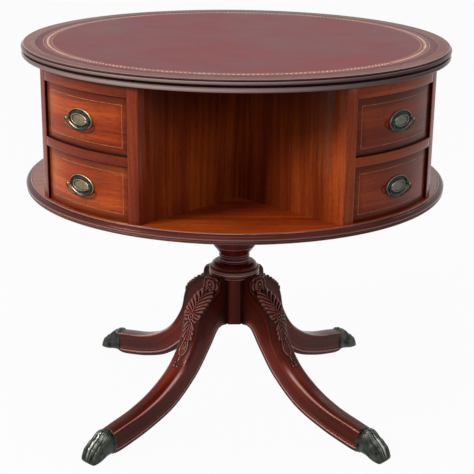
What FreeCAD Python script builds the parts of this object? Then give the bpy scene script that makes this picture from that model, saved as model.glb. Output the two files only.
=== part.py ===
import FreeCAD, Part
import math
import os
import Sketcher
from FreeCAD import Placement, Rotation, Vector

# Revolving drum table: leather-lined round top, eight bow-front drawers in four arms, open book bays
# between them, on a turned pedestal with four sabre legs. Millimetres, floor at Z 0, drum axis on Z.
# An arm is drawn once pointing along -Y and a leg once along +X, and each is then turned about Z.

doc = FreeCAD.newDocument("DrumTable")
dim = doc.addObject("Spreadsheet::Sheet", "dim")

dimensions = {
    # overall
    "tableHeight": 760.0,
    "overrun": 2.0,
    "glueGap": 0.1,
    "runningGap": 0.3,
    "spindleFit": 0.05,
    # top board and its moulded edge, from the underside up
    "topThick": 23.0,
    "topUnderOver": 3.0,
    "topQuirkOver": 10.2,
    "topBeadOver": 13.0,
    "topGrooveOver": 7.6,
    "topRollOver": 12.0,
    "topEdgeOver": 8.6,
    "topLowerStep": 4.2,
    "topBeadTall": 9.2,
    "topGrooveTall": 2.2,
    "leatherInset": 15.0,
    "leatherThick": 1.2,
    # shelf and its moulded edge
    "shelfBottom": 480.0,
    "shelfThick": 17.5,
    "shelfFlatOver": 1.5,
    "shelfBeadOver": 5.0,
    "shelfQuirk": 1.4,
    "shelfOvoloOver": 10.6,
    "shelfOvoloDrop": 3.2,
    "shelfBandOver": 13.2,
    "shelfBandTall": 3.6,
    "shelfGroove": 2.0,
    "shelfGrooveTall": 1.6,
    "shelfLowerBead": 5.4,
    "shelfLowerInset": 1.0,
    # drum case
    "caseRadius": 397.0,
    "drawerOpening": 217.0,
    "wallThick": 20.0,
    "coreWall": 16.0,
    "frameDeep": 49.0,
    "topRailTall": 20.4,
    "midRailTall": 16.6,
    "dustBoardThick": 10.0,
    # drawers
    "drawerSetBack": 5.0,
    "drawerSideGap": 0.6,
    "drawerTopGap": 0.8,
    "drawerFrontDeep": 34.0,
    "drawerSideThick": 9.0,
    "drawerSideDrop": 15.4,
    "drawerBackThick": 9.0,
    "drawerBottomThick": 5.0,
    "drawerBottomLift": 4.0,
    "drawerCoreGap": 8.0,
    # drawer pulls
    "plateHalfLong": 32.0,
    "plateHalfTall": 19.0,
    "plateProud": 2.2,
    "bossHalfLong": 19.0,
    "bossHalfTall": 10.0,
    "bossProud": 3.4,
    "postSpacing": 52.0,
    "postRadius": 2.4,
    "postFit": 0.05,
    "postHeadRadius": 3.9,
    "pinStandoff": 8.8,
    "pinRadius": 1.5,
    "pinFit": 0.05,
    "postNutRadius": 5.0,
    "postNutThick": 4.0,
    "bailHalfWide": 32.2,
    "bailRod": 1.9,
    "bailCorner": 3.2,
    "bailSideArc": 12.0,
    "bailSideTurn": 62.0,
    "bailPinInset": 2.0,
    # turned pedestal, from the leg block up
    "blockBottom": 186.0,
    "blockTop": 283.0,
    "blockHalf": 40.5,
    "blockFacetHalf": 24.2,
    "ringRadius": 51.0,
    "ringTop": 297.0,
    "torusFootRadius": 41.6,
    "torusRadius": 40.8,
    "torusLevel": 302.5,
    "torusTopRadius": 36.5,
    "torusTop": 308.5,
    "collarRadius": 29.5,
    "collarLevel": 314.5,
    "collarTop": 317.5,
    "neckRadius": 27.4,
    "neckTop": 321.5,
    "beadRadius": 30.5,
    "beadTop": 326.5,
    "cupRadius": 42.5,
    "cupLevel": 342.0,
    "bellRadius": 44.4,
    "bellLevel": 366.0,
    "vaseRadius": 54.0,
    "vaseLevel": 386.0,
    "shoulderRadius": 47.0,
    "shoulderLevel": 411.6,
    "waistRadius": 30.0,
    "waistLevel": 432.0,
    "capRadius": 46.0,
    "capLevel": 448.0,
    # turning gear
    "bearerRadius": 95.0,
    "bearerThick": 18.0,
    "bearerChamfer": 5.0,
    "swivelRadius": 88.0,
    "swivelThick": 3.0,
    "spindleRadius": 9.5,
    "spindleSunk": 60.0,
    "spindleAbove": 34.0,
    "spindleChamfer": 1.5,
    "nutAcross": 30.0,
    "nutThick": 14.0,
    # sabre legs
    "legWide": 44.0,
    "legWideAnkle": 31.0,
    "legTopLevel": 282.6,
    "earRadius": 12.5,
    "earReach": 55.0,
    "earLevel": 276.0,
    "kneeReach": 78.0,
    "kneeTop": 264.0,
    "kneeSwell": 118.0,
    "kneeSwellLevel": 235.0,
    "kneeSwellArc": 56.0,
    "shinReach": 136.0,
    "shinLevel": 170.0,
    "shinArc": 260.0,
    "calfReach": 218.0,
    "calfLevel": 88.0,
    "calfArc": 190.0,
    "ankleReach": 346.0,
    "ankleTop": 50.0,
    "ankleTopArc": 420.0,
    "ankleRake": 6.0,
    "ankleBottom": 5.0,
    "ankleBottomArc": 560.0,
    "soleReach": 212.0,
    "soleLevel": 38.5,
    "soleArc": 250.0,
    "archReach": 82.0,
    "archLevel": 160.0,
    "archArc": 56.0,
    "archStart": 58.0,
    "tongueDeep": 11.0,
    "tongueNeck": 16.0,
    "tongueWide": 22.0,
    "tongueBottom": 192.0,
    "tongueTop": 276.0,
    # brass paws, their lengths measured from the leg's end
    "pawCollarLap": 3.0,
    "pawCollarHalf": 18.0,
    "pawCollarBottom": 3.0,
    "pawCollarTop": 54.0,
    "pawWristLong": 16.0,
    "pawWristHalf": 20.0,
    "pawWristTop": 47.0,
    "pawFootLong": 38.0,
    "pawFootHalf": 16.0,
    "pawFootTop": 30.0,
    "toeSpread": 33.0,
    "toeFan": 1.25,
    "toeRootLong": 15.0,
    "toeRootTop": 44.0,
    "toeRootHalf": 6.0,
    "knuckleLong": 27.0,
    "knuckleTop": 38.0,
    "knuckleHalf": 8.0,
    "toeMiddleLong": 43.0,
    "toeMiddleTop": 26.0,
    "toeMiddleHalf": 8.4,
    "toeTipLong": 54.0,
    "toeTipTop": 14.0,
    "toeTipHalf": 6.0,
    # iron plate under the column
    "legPlateThick": 3.0,
    "legPlateReach": 56.0,
    "legPlateWide": 20.0,
    "legPlateHub": 30.0,
}

toeCount = 4
ovalSides = 12
rodSides = 8
nutSides = 6
lowerShare = 0.4963
bailSideShares = (0.5, 1.0)
bailBottomShares = (0.6, 0.2)
armNames = ["front", "right", "back", "left"]
quarterTurn = 90.0
wholeTurn = 360.0
halfSide = 0.5
cornerShare = 0.58
flatness = 1e-6

for row, (alias, size) in enumerate(dimensions.items(), start=1):
    cell = "A" + str(row)
    dim.set(cell, str(size))
    dim.setAlias(cell, alias)
doc.recompute()


def value(expression):
    # the number that an expression in the sheet's names comes to
    return float(dim.evalExpression(expression))


# Levels and reaches that several pieces share, written in the sheet's names
topUnder = "(dim.tableHeight - dim.topThick)"
shelfTop = "(dim.shelfBottom + dim.shelfThick)"
openingHalf = "(dim.drawerOpening / 2)"
armHalf = "(dim.drawerOpening / 2 + dim.wallThick)"
drawersTall = f"({topUnder} - {shelfTop} - dim.topRailTall - dim.midRailTall)"
lowerOpeningTop = f"({shelfTop} + {drawersTall} * {lowerShare})"
upperOpeningBottom = f"({lowerOpeningTop} + dim.midRailTall)"
upperOpeningTop = f"({topUnder} - dim.topRailTall)"
frameBack = "(dim.caseRadius - dim.frameDeep)"
drawerRadius = "(dim.caseRadius - dim.drawerSetBack)"
drawerFrontBack = "(dim.caseRadius - dim.drawerSetBack - dim.drawerFrontDeep)"
leatherRadius = "(dim.caseRadius - dim.leatherInset)"
swivelBottom = "(dim.shelfBottom - dim.swivelThick)"
bearerTop = f"({swivelBottom} - dim.runningGap)"
bearerBottom = f"({bearerTop} - dim.bearerThick)"
spindleBore = "(dim.spindleRadius + dim.spindleFit)"


def bind(piece, **fields):
    # ties each named field of a piece to an expression in the sheet's names
    for field, expression in fields.items():
        piece.setExpression(field.replace("_", "."), expression)
    return piece


def place(piece, x="0", y="0", z="0"):
    return bind(piece, Placement_Base_x=x, Placement_Base_y=y, Placement_Base_z=z)


def block(name, x, y, z):
    # a board between two corners, each direction given as a low and a high expression
    piece = doc.addObject("Part::Box", name)
    bind(piece, Length=f"{x[1]} - ({x[0]})", Width=f"{y[1]} - ({y[0]})", Height=f"{z[1]} - ({z[0]})")
    return place(piece, x[0], y[0], z[0])


def cylinder(name, radius, low, high, x="0", y="0"):
    piece = doc.addObject("Part::Cylinder", name)
    bind(piece, Radius=radius, Height=f"{high} - ({low})")
    return place(piece, x, y, low)


def cut(name, base, tool):
    piece = doc.addObject("Part::Cut", name)
    piece.Base = base
    piece.Tool = tool
    return piece


def common(name, base, tool):
    piece = doc.addObject("Part::Common", name)
    piece.Base = base
    piece.Tool = tool
    return piece


def fuse(name, pieces):
    piece = doc.addObject("Part::MultiFuse", name)
    piece.Shapes = pieces
    return piece


def group(name, pieces, turn=0.0, lift="0"):
    # the solids of one node, turned about Z to their own arm and raised to their own level
    piece = doc.addObject("Part::Compound", name)
    piece.Links = pieces
    piece.Placement = Placement(Vector(), Rotation(Vector(0, 0, 1), turn))
    return bind(piece, Placement_Base_z=lift)


def ring(name, pieces):
    # the same solids four times round the axis, as one tool or one node
    return group(name, [group(f"{name}_{arm}", pieces, quarterTurn * index) for index, arm in enumerate(armNames)])


def plane(body, role):
    return [feature for feature in body.Origin.OriginFeatures if feature.Role == role][0]


def outline(body, role, corners):
    # closed sketch; a corner is (x, y) or (x, y, radius, side) where an arc runs to the next corner,
    # and side 1 has the arc's centre on the left of the way round and -1 on the right
    sketch = body.newObject("Sketcher::SketchObject", body.Name + "Sketch")
    sketch.AttachmentSupport = [(plane(body, role), "")]
    sketch.MapMode = "FlatFace"
    points = [Vector(value(corner[0]), value(corner[1]), 0) for corner in corners]
    ends = []
    for index, corner in enumerate(corners):
        start, end = points[index], points[(index + 1) % len(points)]
        if len(corner) == 2:
            sketch.addGeometry(Part.LineSegment(start, end), False)
            ends.append((1, 2))
            continue
        radius, side = value(corner[2]), corner[3]
        half = (end - start).Length / 2
        left = Vector(start.y - end.y, end.x - start.x, 0).normalize()
        centre = (start + end) * 0.5 + left * side * math.sqrt(radius ** 2 - half ** 2)
        first, last = (start, end) if side > 0 else (end, start)
        turns = [math.atan2(point.y - centre.y, point.x - centre.x) for point in (first, last)]
        circle = Part.Circle(centre, Vector(0, 0, 1), radius)
        sketch.addGeometry(Part.ArcOfCircle(circle, turns[0], turns[1]), False)
        ends.append((1, 2) if side > 0 else (2, 1))
    rules = []
    driven = []
    for index, corner in enumerate(corners):
        following = (index + 1) % len(corners)
        rules.append(Sketcher.Constraint("Coincident", index, ends[index][1], following, ends[following][0]))
        for kind, axis, expression in (("DistanceX", -2, corner[0]), ("DistanceY", -1, corner[1])):
            if expression == "0":
                rules.append(Sketcher.Constraint("PointOnObject", index, ends[index][0], axis))
            else:
                driven.append((len(rules), expression))
                rules.append(Sketcher.Constraint(kind, -1, 1, index, ends[index][0], value(expression)))
        if len(corner) > 2:
            driven.append((len(rules), corner[2]))
            rules.append(Sketcher.Constraint("Radius", index, value(corner[2])))
    sketch.addConstraint(rules)
    for number, expression in driven:
        sketch.setExpression(f"Constraints[{number}]", expression)
    return sketch


def newBody(name):
    return doc.addObject("PartDesign::Body", name)


def turned(name, corners):
    # a body turned about Z from a half section in the XZ plane
    body = newBody(name)
    sketch = outline(body, "XZ_Plane", corners)
    turning = body.newObject("PartDesign::Revolution", name + "Turning")
    turning.Profile = sketch
    turning.ReferenceAxis = (sketch, ["V_Axis"])
    turning.Angle = wholeTurn
    sketch.Visibility = False
    return body


def pad(body, sketch, length, middle=False, start=None):
    feature = body.newObject("PartDesign::Pad", body.Name + "Pad")
    feature.Profile = sketch
    feature.Midplane = middle
    feature.setExpression("Length", length)
    if start:
        bind(sketch, AttachmentOffset_Base_z=start)
    return feature


# Top board: underside slope, lower bead, groove and upper roll, with a recess for the leather
beadStart = f"({topUnder} + dim.topLowerStep)"
grooveStart = f"({beadStart} + dim.topBeadTall)"
rollStart = f"({grooveStart} + dim.topGrooveTall)"
leatherBed = "(dim.tableHeight - dim.leatherThick)"
turned("top_board", [
    ("0", topUnder),
    ("dim.caseRadius + dim.topUnderOver", topUnder),
    ("dim.caseRadius + dim.topQuirkOver", beadStart),
    ("dim.caseRadius + dim.topBeadOver", f"({beadStart} + {grooveStart}) / 2"),
    ("dim.caseRadius + dim.topQuirkOver", grooveStart),
    ("dim.caseRadius + dim.topGrooveOver", f"({grooveStart} + {rollStart}) / 2"),
    ("dim.caseRadius + dim.topQuirkOver", rollStart),
    ("dim.caseRadius + dim.topRollOver", f"({rollStart} + dim.tableHeight) / 2"),
    ("dim.caseRadius + dim.topEdgeOver", "dim.tableHeight"),
    (leatherRadius, "dim.tableHeight"),
    (leatherRadius, leatherBed),
    ("0", leatherBed),
])

cylinder("leather_inset", f"{leatherRadius} - dim.glueGap", leatherBed, "dim.tableHeight")

# Shelf: flat top, small bead, ovolo and band, groove and lower bead, bored for the spindle
bandRadius = "(dim.caseRadius + dim.shelfBandOver)"
lowerTop = "(dim.shelfBottom + dim.shelfLowerBead)"
bandLow = f"({lowerTop} + dim.shelfGrooveTall)"
bandHigh = f"({bandLow} + dim.shelfBandTall)"
turned("shelf", [
    (spindleBore, "dim.shelfBottom"),
    (f"{bandRadius} - dim.shelfGroove", "dim.shelfBottom"),
    (f"{bandRadius} - dim.shelfLowerInset", f"(dim.shelfBottom + {lowerTop}) / 2"),
    (f"{bandRadius} - dim.shelfGroove", lowerTop),
    (bandRadius, bandLow),
    (bandRadius, bandHigh),
    ("dim.caseRadius + dim.shelfOvoloOver", f"{shelfTop} - dim.shelfOvoloDrop"),
    ("dim.caseRadius + dim.shelfBeadOver", f"{shelfTop} - dim.shelfQuirk"),
    ("dim.caseRadius + dim.shelfFlatOver", shelfTop),
    (spindleBore, shelfTop),
])

cut(
    "swivel_plate",
    cylinder("swivelDisc", "dim.swivelRadius", swivelBottom, "dim.shelfBottom"),
    cylinder("swivelBore", spindleBore, f"{swivelBottom} - dim.overrun", "dim.shelfBottom + dim.overrun"))

# Core box: two long boards and two short ones between them
coreInner = f"({armHalf} - dim.coreWall)"
caseSpan = (shelfTop, topUnder)
group("core_box", [
    block("coreFront", (f"-{armHalf}", armHalf), (f"-{armHalf}", f"-{coreInner}"), caseSpan),
    block("coreBack", (f"-{armHalf}", armHalf), (coreInner, armHalf), caseSpan),
    block("coreLeft", (f"-{armHalf}", f"-{coreInner}"), (f"-{coreInner}", coreInner), caseSpan),
    block("coreRight", (coreInner, armHalf), (f"-{coreInner}", coreInner), caseSpan),
])

# Four arms: side panels, face frame and the board between the drawers
panelSpan = (f"-{frameBack}", f"-{armHalf}")
frameSpan = ("-dim.caseRadius", f"-{frameBack}")


def bowed(name, board, radius, low, high):
    # trims a board's outer end to the drum's curve
    return common(name, board, cylinder(name + "Drum", radius, low, high))


sidePanels = [
    block("panelLeft", (f"-{armHalf}", f"-{openingHalf}"), panelSpan, caseSpan),
    block("panelRight", (openingHalf, armHalf), panelSpan, caseSpan),
]
frameBoards = {
    "stileLeft": ((f"-{armHalf}", f"-{openingHalf}"), caseSpan),
    "stileRight": ((openingHalf, armHalf), caseSpan),
    "topRail": ((f"-{openingHalf}", openingHalf), (upperOpeningTop, topUnder)),
    "midRail": ((f"-{openingHalf}", openingHalf), (lowerOpeningTop, upperOpeningBottom)),
}
faceFrame = [
    bowed(name, block(name + "Board", across, frameSpan, upright), "dim.caseRadius", upright[0], upright[1])
    for name, (across, upright) in frameBoards.items()]
dustBoard = block("dustBoard", (f"-{openingHalf}", openingHalf), panelSpan,
                  (f"{upperOpeningBottom} - dim.dustBoardThick", upperOpeningBottom))
ring("dust_boards", [dustBoard])


def alongY(name, radius, low, high, x, sides=rodSides):
    # a rod of flat sides from one Y to another, low being the outer end, with a flat side towards X
    piece = doc.addObject("Part::Prism", name)
    piece.Polygon = sides
    bind(piece, Circumradius=radius, Height=f"{high} - ({low})")
    spin = Rotation(Vector(0, 0, 1), wholeTurn * halfSide / sides)
    piece.Placement.Rotation = Rotation(Vector(1, 0, 0), -quarterTurn).multiply(spin)
    return place(piece, x, low, "0")


def oval(name, halfLong, halfTall, outer, inner):
    # an upright oval slab between two Y levels, its edge drawn in straight runs
    corners = []
    for index in range(ovalSides):
        bearing = wholeTurn * (index + halfSide) / ovalSides
        corners.append((f"{halfLong} * cos({bearing})", f"{halfTall} * sin({bearing})"))
    body = newBody(name)
    pad(body, outline(body, "XZ_Plane", corners), f"{inner} - ({outer})", start=f"-({inner})")
    return body


# Drawer pull, drawn at level 0: oval plate and boss with its back cut to the drawer's curve, and two
# post bolts, each with a head bored across for the bail and a nut inside the drawer
plateFace = f"(-{drawerRadius} - dim.plateProud)"
bossFace = f"(-{drawerRadius} - dim.bossProud)"
pinLine = f"(-{drawerRadius} - dim.pinStandoff)"
plateSeat = f"(dim.plateHalfLong ^ 2 / {drawerRadius} - {drawerRadius})"
nutFace = f"(dim.postNutThick - {drawerFrontBack})"
postBore = "(dim.postRadius + dim.postFit)"
postSides = {"left": "(-dim.postSpacing / 2)", "right": "(dim.postSpacing / 2)"}
pinHoleDeep = "(dim.bailPinInset + dim.glueGap + dim.postHeadRadius)"
pinHoleStarts = {"left": "-dim.postSpacing / 2 - dim.postHeadRadius",
                 "right": "dim.postSpacing / 2 - dim.bailPinInset - dim.glueGap"}
plateBlank = fuse("plateBlank", [
    oval("plateFlat", "dim.plateHalfLong", "dim.plateHalfTall", plateFace, plateSeat),
    oval("plateBoss", "dim.bossHalfLong", "dim.bossHalfTall", bossFace, plateFace),
])
plateTools = [cylinder("plateSeatTool", drawerRadius, "-dim.plateHalfLong", "dim.plateHalfLong")]
posts = []
for side, x in postSides.items():
    plateTools.append(alongY(f"plateBore_{side}", postBore, f"{bossFace} - dim.overrun", f"{plateSeat} + dim.overrun", x))
    postBlank = fuse(f"postBlank_{side}", [
        alongY(f"postShank_{side}", "dim.postRadius", pinLine, nutFace, x),
        alongY(f"postHead_{side}", "dim.postHeadRadius", f"{pinLine} - dim.postHeadRadius",
               f"{pinLine} + dim.postHeadRadius", x),
        alongY(f"postNut_{side}", "dim.postNutRadius", f"-{drawerFrontBack}", nutFace, x, nutSides),
    ])
    pinHole = doc.addObject("Part::Cylinder", f"pinHole_{side}")
    bind(pinHole, Radius="dim.pinRadius + dim.pinFit", Height=pinHoleDeep)
    pinHole.Placement.Rotation = Rotation(Vector(0, 1, 0), quarterTurn)
    place(pinHole, pinHoleStarts[side], pinLine, "0")
    posts.append(cut(f"post_{side}", postBlank, pinHole))
pullPlate = [cut("pullPlate", plateBlank, fuse("plateTools", plateTools))] + posts


# Drawers: a bowed front with a flat back face, and a box of four boards behind it
def drawer(level, low, high):
    half = f"({openingHalf} - dim.drawerSideGap)"
    bottom = f"({low} + dim.runningGap)"
    top = f"({high} - dim.drawerTopGap)"
    inner = f"({half} - dim.drawerSideThick)"
    backEnd = f"({armHalf} + dim.drawerCoreGap)"
    backFace = f"({backEnd} + dim.drawerBackThick)"
    floor = f"({bottom} + dim.drawerBottomLift)"
    lengthwise = (f"-{drawerFrontBack}", f"-{backEnd}")
    sideSpan = (bottom, f"{top} - dim.drawerSideDrop")
    middle = f"(({bottom} + {top}) / 2)"
    frontBoard = block(f"frontBoard_{level}", (f"-{half}", half), (f"-{drawerRadius}", f"-{drawerFrontBack}"),
                       (bottom, top))
    boreOuter = f"-{drawerRadius} - dim.overrun"
    bores = []
    for side, x in postSides.items():
        bore = alongY(f"postBore_{level}_{side}", postBore, boreOuter, f"dim.overrun - {drawerFrontBack}", x)
        bores.append(place(bore, x, boreOuter, middle))
    face = cut(f"drawerFace_{level}", bowed(f"drawerBow_{level}", frontBoard, drawerRadius, bottom, top),
               fuse(f"postBores_{level}", bores))
    boards = [
        block(f"drawerLeft_{level}", (f"-{half}", f"-{inner}"), lengthwise, sideSpan),
        block(f"drawerRight_{level}", (inner, half), lengthwise, sideSpan),
        block(f"drawerBack_{level}", (f"-{inner}", inner), (f"-{backFace}", f"-{backEnd}"), sideSpan),
        block(f"drawerBottom_{level}", (f"-{inner}", inner), (f"-{drawerFrontBack}", f"-{backFace}"),
              (floor, f"{floor} + dim.drawerBottomThick")),
    ]
    return face, boards, middle


def skin(rings):
    # closed solid between rings of points, each side one flat face or two where it would twist
    faces = [Part.Face(Part.makePolygon(end + end[:1])) for end in (rings[0], rings[-1])]
    for first, second in zip(rings, rings[1:]):
        for index in range(len(first)):
            following = (index + 1) % len(first)
            a, b, c, d = first[index], first[following], second[following], second[index]
            twist = abs((b - a).cross(d - a).dot(c - a))
            loops = [[a, b, c, d]] if twist < flatness else [[a, b, c], [a, c, d]]
            faces += [Part.Face(Part.makePolygon(loop + loop[:1])) for loop in loops]
    solid = Part.Solid(Part.Shell(faces))
    return solid if solid.Volume > 0 else solid.reversed()


def bailSolid():
    # one rod bent from pin to pin: pins inside the post heads, small corners, side arcs and a bottom arc
    half, rod, corner = value("dim.bailHalfWide"), value("dim.bailRod"), value("dim.bailCorner")
    side, sweep = value("dim.bailSideArc"), math.radians(value("dim.bailSideTurn"))
    pinEnd = value("dim.postSpacing / 2 - dim.bailPinInset")
    sideCentre = Vector(half - side, 0, -corner)
    points = [Vector(pinEnd, 0, 0), Vector(half, 0, 0), Vector(half, 0, -corner)]
    for share in bailSideShares:
        points.append(sideCentre + Vector(side * math.cos(sweep * share), 0, -side * math.sin(sweep * share)))
    bottomArc = points[-1].x / math.cos(sweep)
    bottomCentre = points[-1].z + bottomArc * math.sin(sweep)
    for share in bailBottomShares:
        lean = (math.pi / 2 - sweep) * share
        points.append(Vector(bottomArc * math.sin(lean), 0, bottomCentre - bottomArc * math.cos(lean)))
    points += [Vector(-point.x, 0, point.z) for point in reversed(points)]
    rings = []
    for index, point in enumerate(points):
        before = points[max(index - 1, 0)]
        after = points[min(index + 1, len(points) - 1)]
        arriving = (point - before if index else after - point).normalize()
        leaving = (after - point if index < len(points) - 1 else point - before).normalize()
        mitre = arriving + leaving
        radius = value("dim.pinRadius") if index in (0, 1, len(points) - 2, len(points) - 1) else rod
        outward = Vector(-arriving.z, 0, arriving.x)
        rim = []
        for number in range(rodSides):
            bearing = 2 * math.pi * (number + halfSide) / rodSides
            spoke = outward * radius * math.cos(bearing) + Vector(0, radius * math.sin(bearing), 0)
            rim.append(point + spoke - arriving * (spoke.dot(mitre) / arriving.dot(mitre)))
        rings.append(rim)
    piece = doc.addObject("Part::Feature", "bail")
    piece.Shape = skin(rings)
    return place(piece, "0", pinLine, "0")


bail = bailSolid()
lowerDrawer = drawer("lower", shelfTop, lowerOpeningTop)
upperDrawer = drawer("upper", upperOpeningBottom, upperOpeningTop)
for index, arm in enumerate(armNames):
    turn = quarterTurn * index
    group(f"side_panels_{arm}", sidePanels, turn)
    group(f"face_frame_{arm}", faceFrame, turn)
    for level, (face, boards, middle) in (("lower", lowerDrawer), ("upper", upperDrawer)):
        group(f"drawer_face_{arm}_{level}", [face], turn)
        group(f"drawer_box_{arm}_{level}", boards, turn)
        group(f"pull_plate_{arm}_{level}", pullPlate, turn, middle)
        group(f"bail_{arm}_{level}", [bail], turn, middle)

# Pedestal: turned above the ring, faceted below it, housed for the four legs and bored for the spindle
column = turned("columnTurned", [
    ("0", "dim.blockTop"),
    ("dim.ringRadius", "dim.blockTop"),
    ("dim.ringRadius", "dim.ringTop"),
    ("dim.torusFootRadius", "dim.ringTop"),
    ("dim.torusRadius", "dim.torusLevel"),
    ("dim.torusTopRadius", "dim.torusTop"),
    ("dim.collarRadius", "dim.collarLevel"),
    ("dim.collarRadius", "dim.collarTop"),
    ("dim.neckRadius", "dim.collarTop"),
    ("dim.neckRadius", "dim.neckTop"),
    ("dim.beadRadius", "dim.neckTop"),
    ("dim.beadRadius", "dim.beadTop"),
    ("dim.cupRadius", "dim.cupLevel"),
    ("dim.bellRadius", "dim.bellLevel"),
    ("dim.vaseRadius", "dim.vaseLevel"),
    ("dim.shoulderRadius", "dim.shoulderLevel"),
    ("dim.waistRadius", "dim.waistLevel"),
    ("dim.capRadius", "dim.capLevel"),
    ("dim.capRadius", bearerBottom),
    ("0", bearerBottom),
])
facets = newBody("columnBlock")
facetCorners = [
    ("dim.blockHalf", "-dim.blockFacetHalf"), ("dim.blockHalf", "dim.blockFacetHalf"),
    ("dim.blockFacetHalf", "dim.blockHalf"), ("-dim.blockFacetHalf", "dim.blockHalf"),
    ("-dim.blockHalf", "dim.blockFacetHalf"), ("-dim.blockHalf", "-dim.blockFacetHalf"),
    ("-dim.blockFacetHalf", "-dim.blockHalf"), ("dim.blockFacetHalf", "-dim.blockHalf"),
]
pad(facets, outline(facets, "XY_Plane", facetCorners), "dim.blockTop - dim.blockBottom", start="dim.blockBottom")


def dovetail(body, reach, gap):
    # plan of a dovetail that widens towards the column's axis, as wide again as the gap on each side
    root = f"(dim.blockHalf - dim.tongueDeep - {gap})"
    neck = f"(dim.tongueNeck / 2 + {gap})"
    wide = f"(dim.tongueWide / 2 + {gap})"
    return outline(body, "XY_Plane", [(root, f"-{wide}"), (reach, f"-{neck}"), (reach, neck), (root, wide)])


housing = newBody("housingTool")
pad(housing, dovetail(housing, "dim.blockHalf + dim.glueGap", "dim.glueGap"),
    "dim.tongueTop - dim.blockBottom + dim.glueGap + dim.overrun", start="dim.blockBottom - dim.overrun")
housings = ring("housings", [housing])
spindleHole = cylinder("spindleHole", "dim.spindleRadius", f"{bearerBottom} - dim.spindleSunk",
                       f"{bearerBottom} + dim.overrun")
cut("pedestal_column", fuse("columnBlank", [column, facets]), fuse("columnTools", [housings, spindleHole]))

turned("bearer_block", [
    ("dim.spindleRadius", bearerBottom),
    ("dim.bearerRadius - dim.bearerChamfer", bearerBottom),
    ("dim.bearerRadius", f"{bearerBottom} + dim.bearerChamfer"),
    ("dim.bearerRadius", bearerTop),
    ("dim.spindleRadius", bearerTop),
])

turned("pivot_spindle", [
    ("0", f"{bearerBottom} - dim.spindleSunk"),
    ("dim.spindleRadius", f"{bearerBottom} - dim.spindleSunk"),
    ("dim.spindleRadius", f"{shelfTop} + dim.spindleAbove - dim.spindleChamfer"),
    ("dim.spindleRadius - dim.spindleChamfer", f"{shelfTop} + dim.spindleAbove"),
    ("0", f"{shelfTop} + dim.spindleAbove"),
])

nutBlank = doc.addObject("Part::Prism", "nutBlank")
nutBlank.Polygon = nutSides
bind(nutBlank, Circumradius="dim.nutAcross / sqrt(3)", Height="dim.nutThick")
place(nutBlank, "0", "0", f"{shelfTop} + dim.runningGap")
cut("spindle_nut", nutBlank, cylinder("nutThread", "dim.spindleRadius", shelfTop, f"{shelfTop} + dim.nutThick * 2"))

# Leg, drawn along +X: side outline padded across, tapered towards the ankle, cleared round the column's
# ring, with a scroll ear on top and a dovetail tongue into the column
legInner = "(dim.blockHalf + dim.glueGap)"
taperEnd = "(dim.ankleReach + dim.overrun)"
legBlank = newBody("legBlank")
pad(legBlank, outline(legBlank, "XZ_Plane", [
    (legInner, "dim.blockBottom"),
    ("dim.archStart", "dim.blockBottom", "dim.archArc", -1),
    ("dim.archReach", "dim.archLevel", "dim.soleArc", 1),
    ("dim.soleReach", "dim.soleLevel", "dim.ankleBottomArc", 1),
    ("dim.ankleReach - dim.ankleRake", "dim.ankleBottom"),
    ("dim.ankleReach", "dim.ankleTop", "dim.ankleTopArc", -1),
    ("dim.calfReach", "dim.calfLevel", "dim.calfArc", -1),
    ("dim.shinReach", "dim.shinLevel", "dim.shinArc", -1),
    ("dim.kneeSwell", "dim.kneeSwellLevel", "dim.kneeSwellArc", 1),
    ("dim.kneeReach", "dim.kneeTop"),
    ("dim.earReach + dim.earRadius", "dim.earLevel - dim.earRadius"),
    ("dim.earReach + dim.earRadius", "dim.earLevel"),
    (legInner, "dim.earLevel"),
]), "dim.legWide", middle=True)
legTools = [cylinder("legRingClear", "dim.ringRadius + dim.glueGap", "dim.legTopLevel",
                     "dim.earLevel + 2 * dim.earRadius")]
for side, sign in (("left", "-"), ("right", "")):
    wedge = newBody(f"legTaper_{side}")
    outside = f"{sign}(dim.legWide / 2 + dim.overrun)"
    pad(wedge, outline(wedge, "XY_Plane", [
        ("dim.kneeSwell", f"{sign}dim.legWide / 2"), (taperEnd, f"{sign}dim.legWideAnkle / 2"),
        (taperEnd, outside), ("dim.kneeSwell", outside),
    ]), "dim.kneeTop", start="0")
    legTools.append(wedge)
ear = doc.addObject("Part::Cylinder", "legEar")
bind(ear, Radius="dim.earRadius", Height="dim.legWide")
ear.Placement.Rotation = Rotation(Vector(1, 0, 0), quarterTurn)
place(ear, "dim.earReach", "dim.legWide / 2", "dim.earLevel")
tongue = newBody("legTongue")
pad(tongue, dovetail(tongue, legInner, "0"), "dim.tongueTop - dim.tongueBottom",
    start="dim.tongueBottom")
leg = fuse("leg", [cut("legShaped", fuse("legWithEar", [legBlank, ear]), fuse("legTools", legTools)), tongue])


def eightSided(reach, y, low, high, half):
    # a ring standing across the leg, its corners cut at the same slope as every other's
    cutCorner = min(half, (high - low) / 2) * cornerShare
    return [Vector(reach, y + across, level) for across, level in (
        (half, low + cutCorner), (half, high - cutCorner), (half - cutCorner, high), (cutCorner - half, high),
        (-half, high - cutCorner), (-half, low + cutCorner), (cutCorner - half, low), (half - cutCorner, low))]


def toe(y):
    # a toe from its root over the knuckle down to the tip, fanning outwards and standing on the floor
    rings = []
    for key in ("toeRoot", "knuckle", "toeMiddle", "toeTip"):
        reach, top, half = (value(f"dim.{key}{end}") for end in ("Long", "Top", "Half"))
        share = (reach - value("dim.toeRootLong")) / value("dim.toeTipLong - dim.toeRootLong")
        fan = value("dim.toeFan")
        rings.append(eightSided(value("dim.ankleReach") + reach, y / fan + (y - y / fan) * share, 0, top, half))
    return skin(rings)


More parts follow.
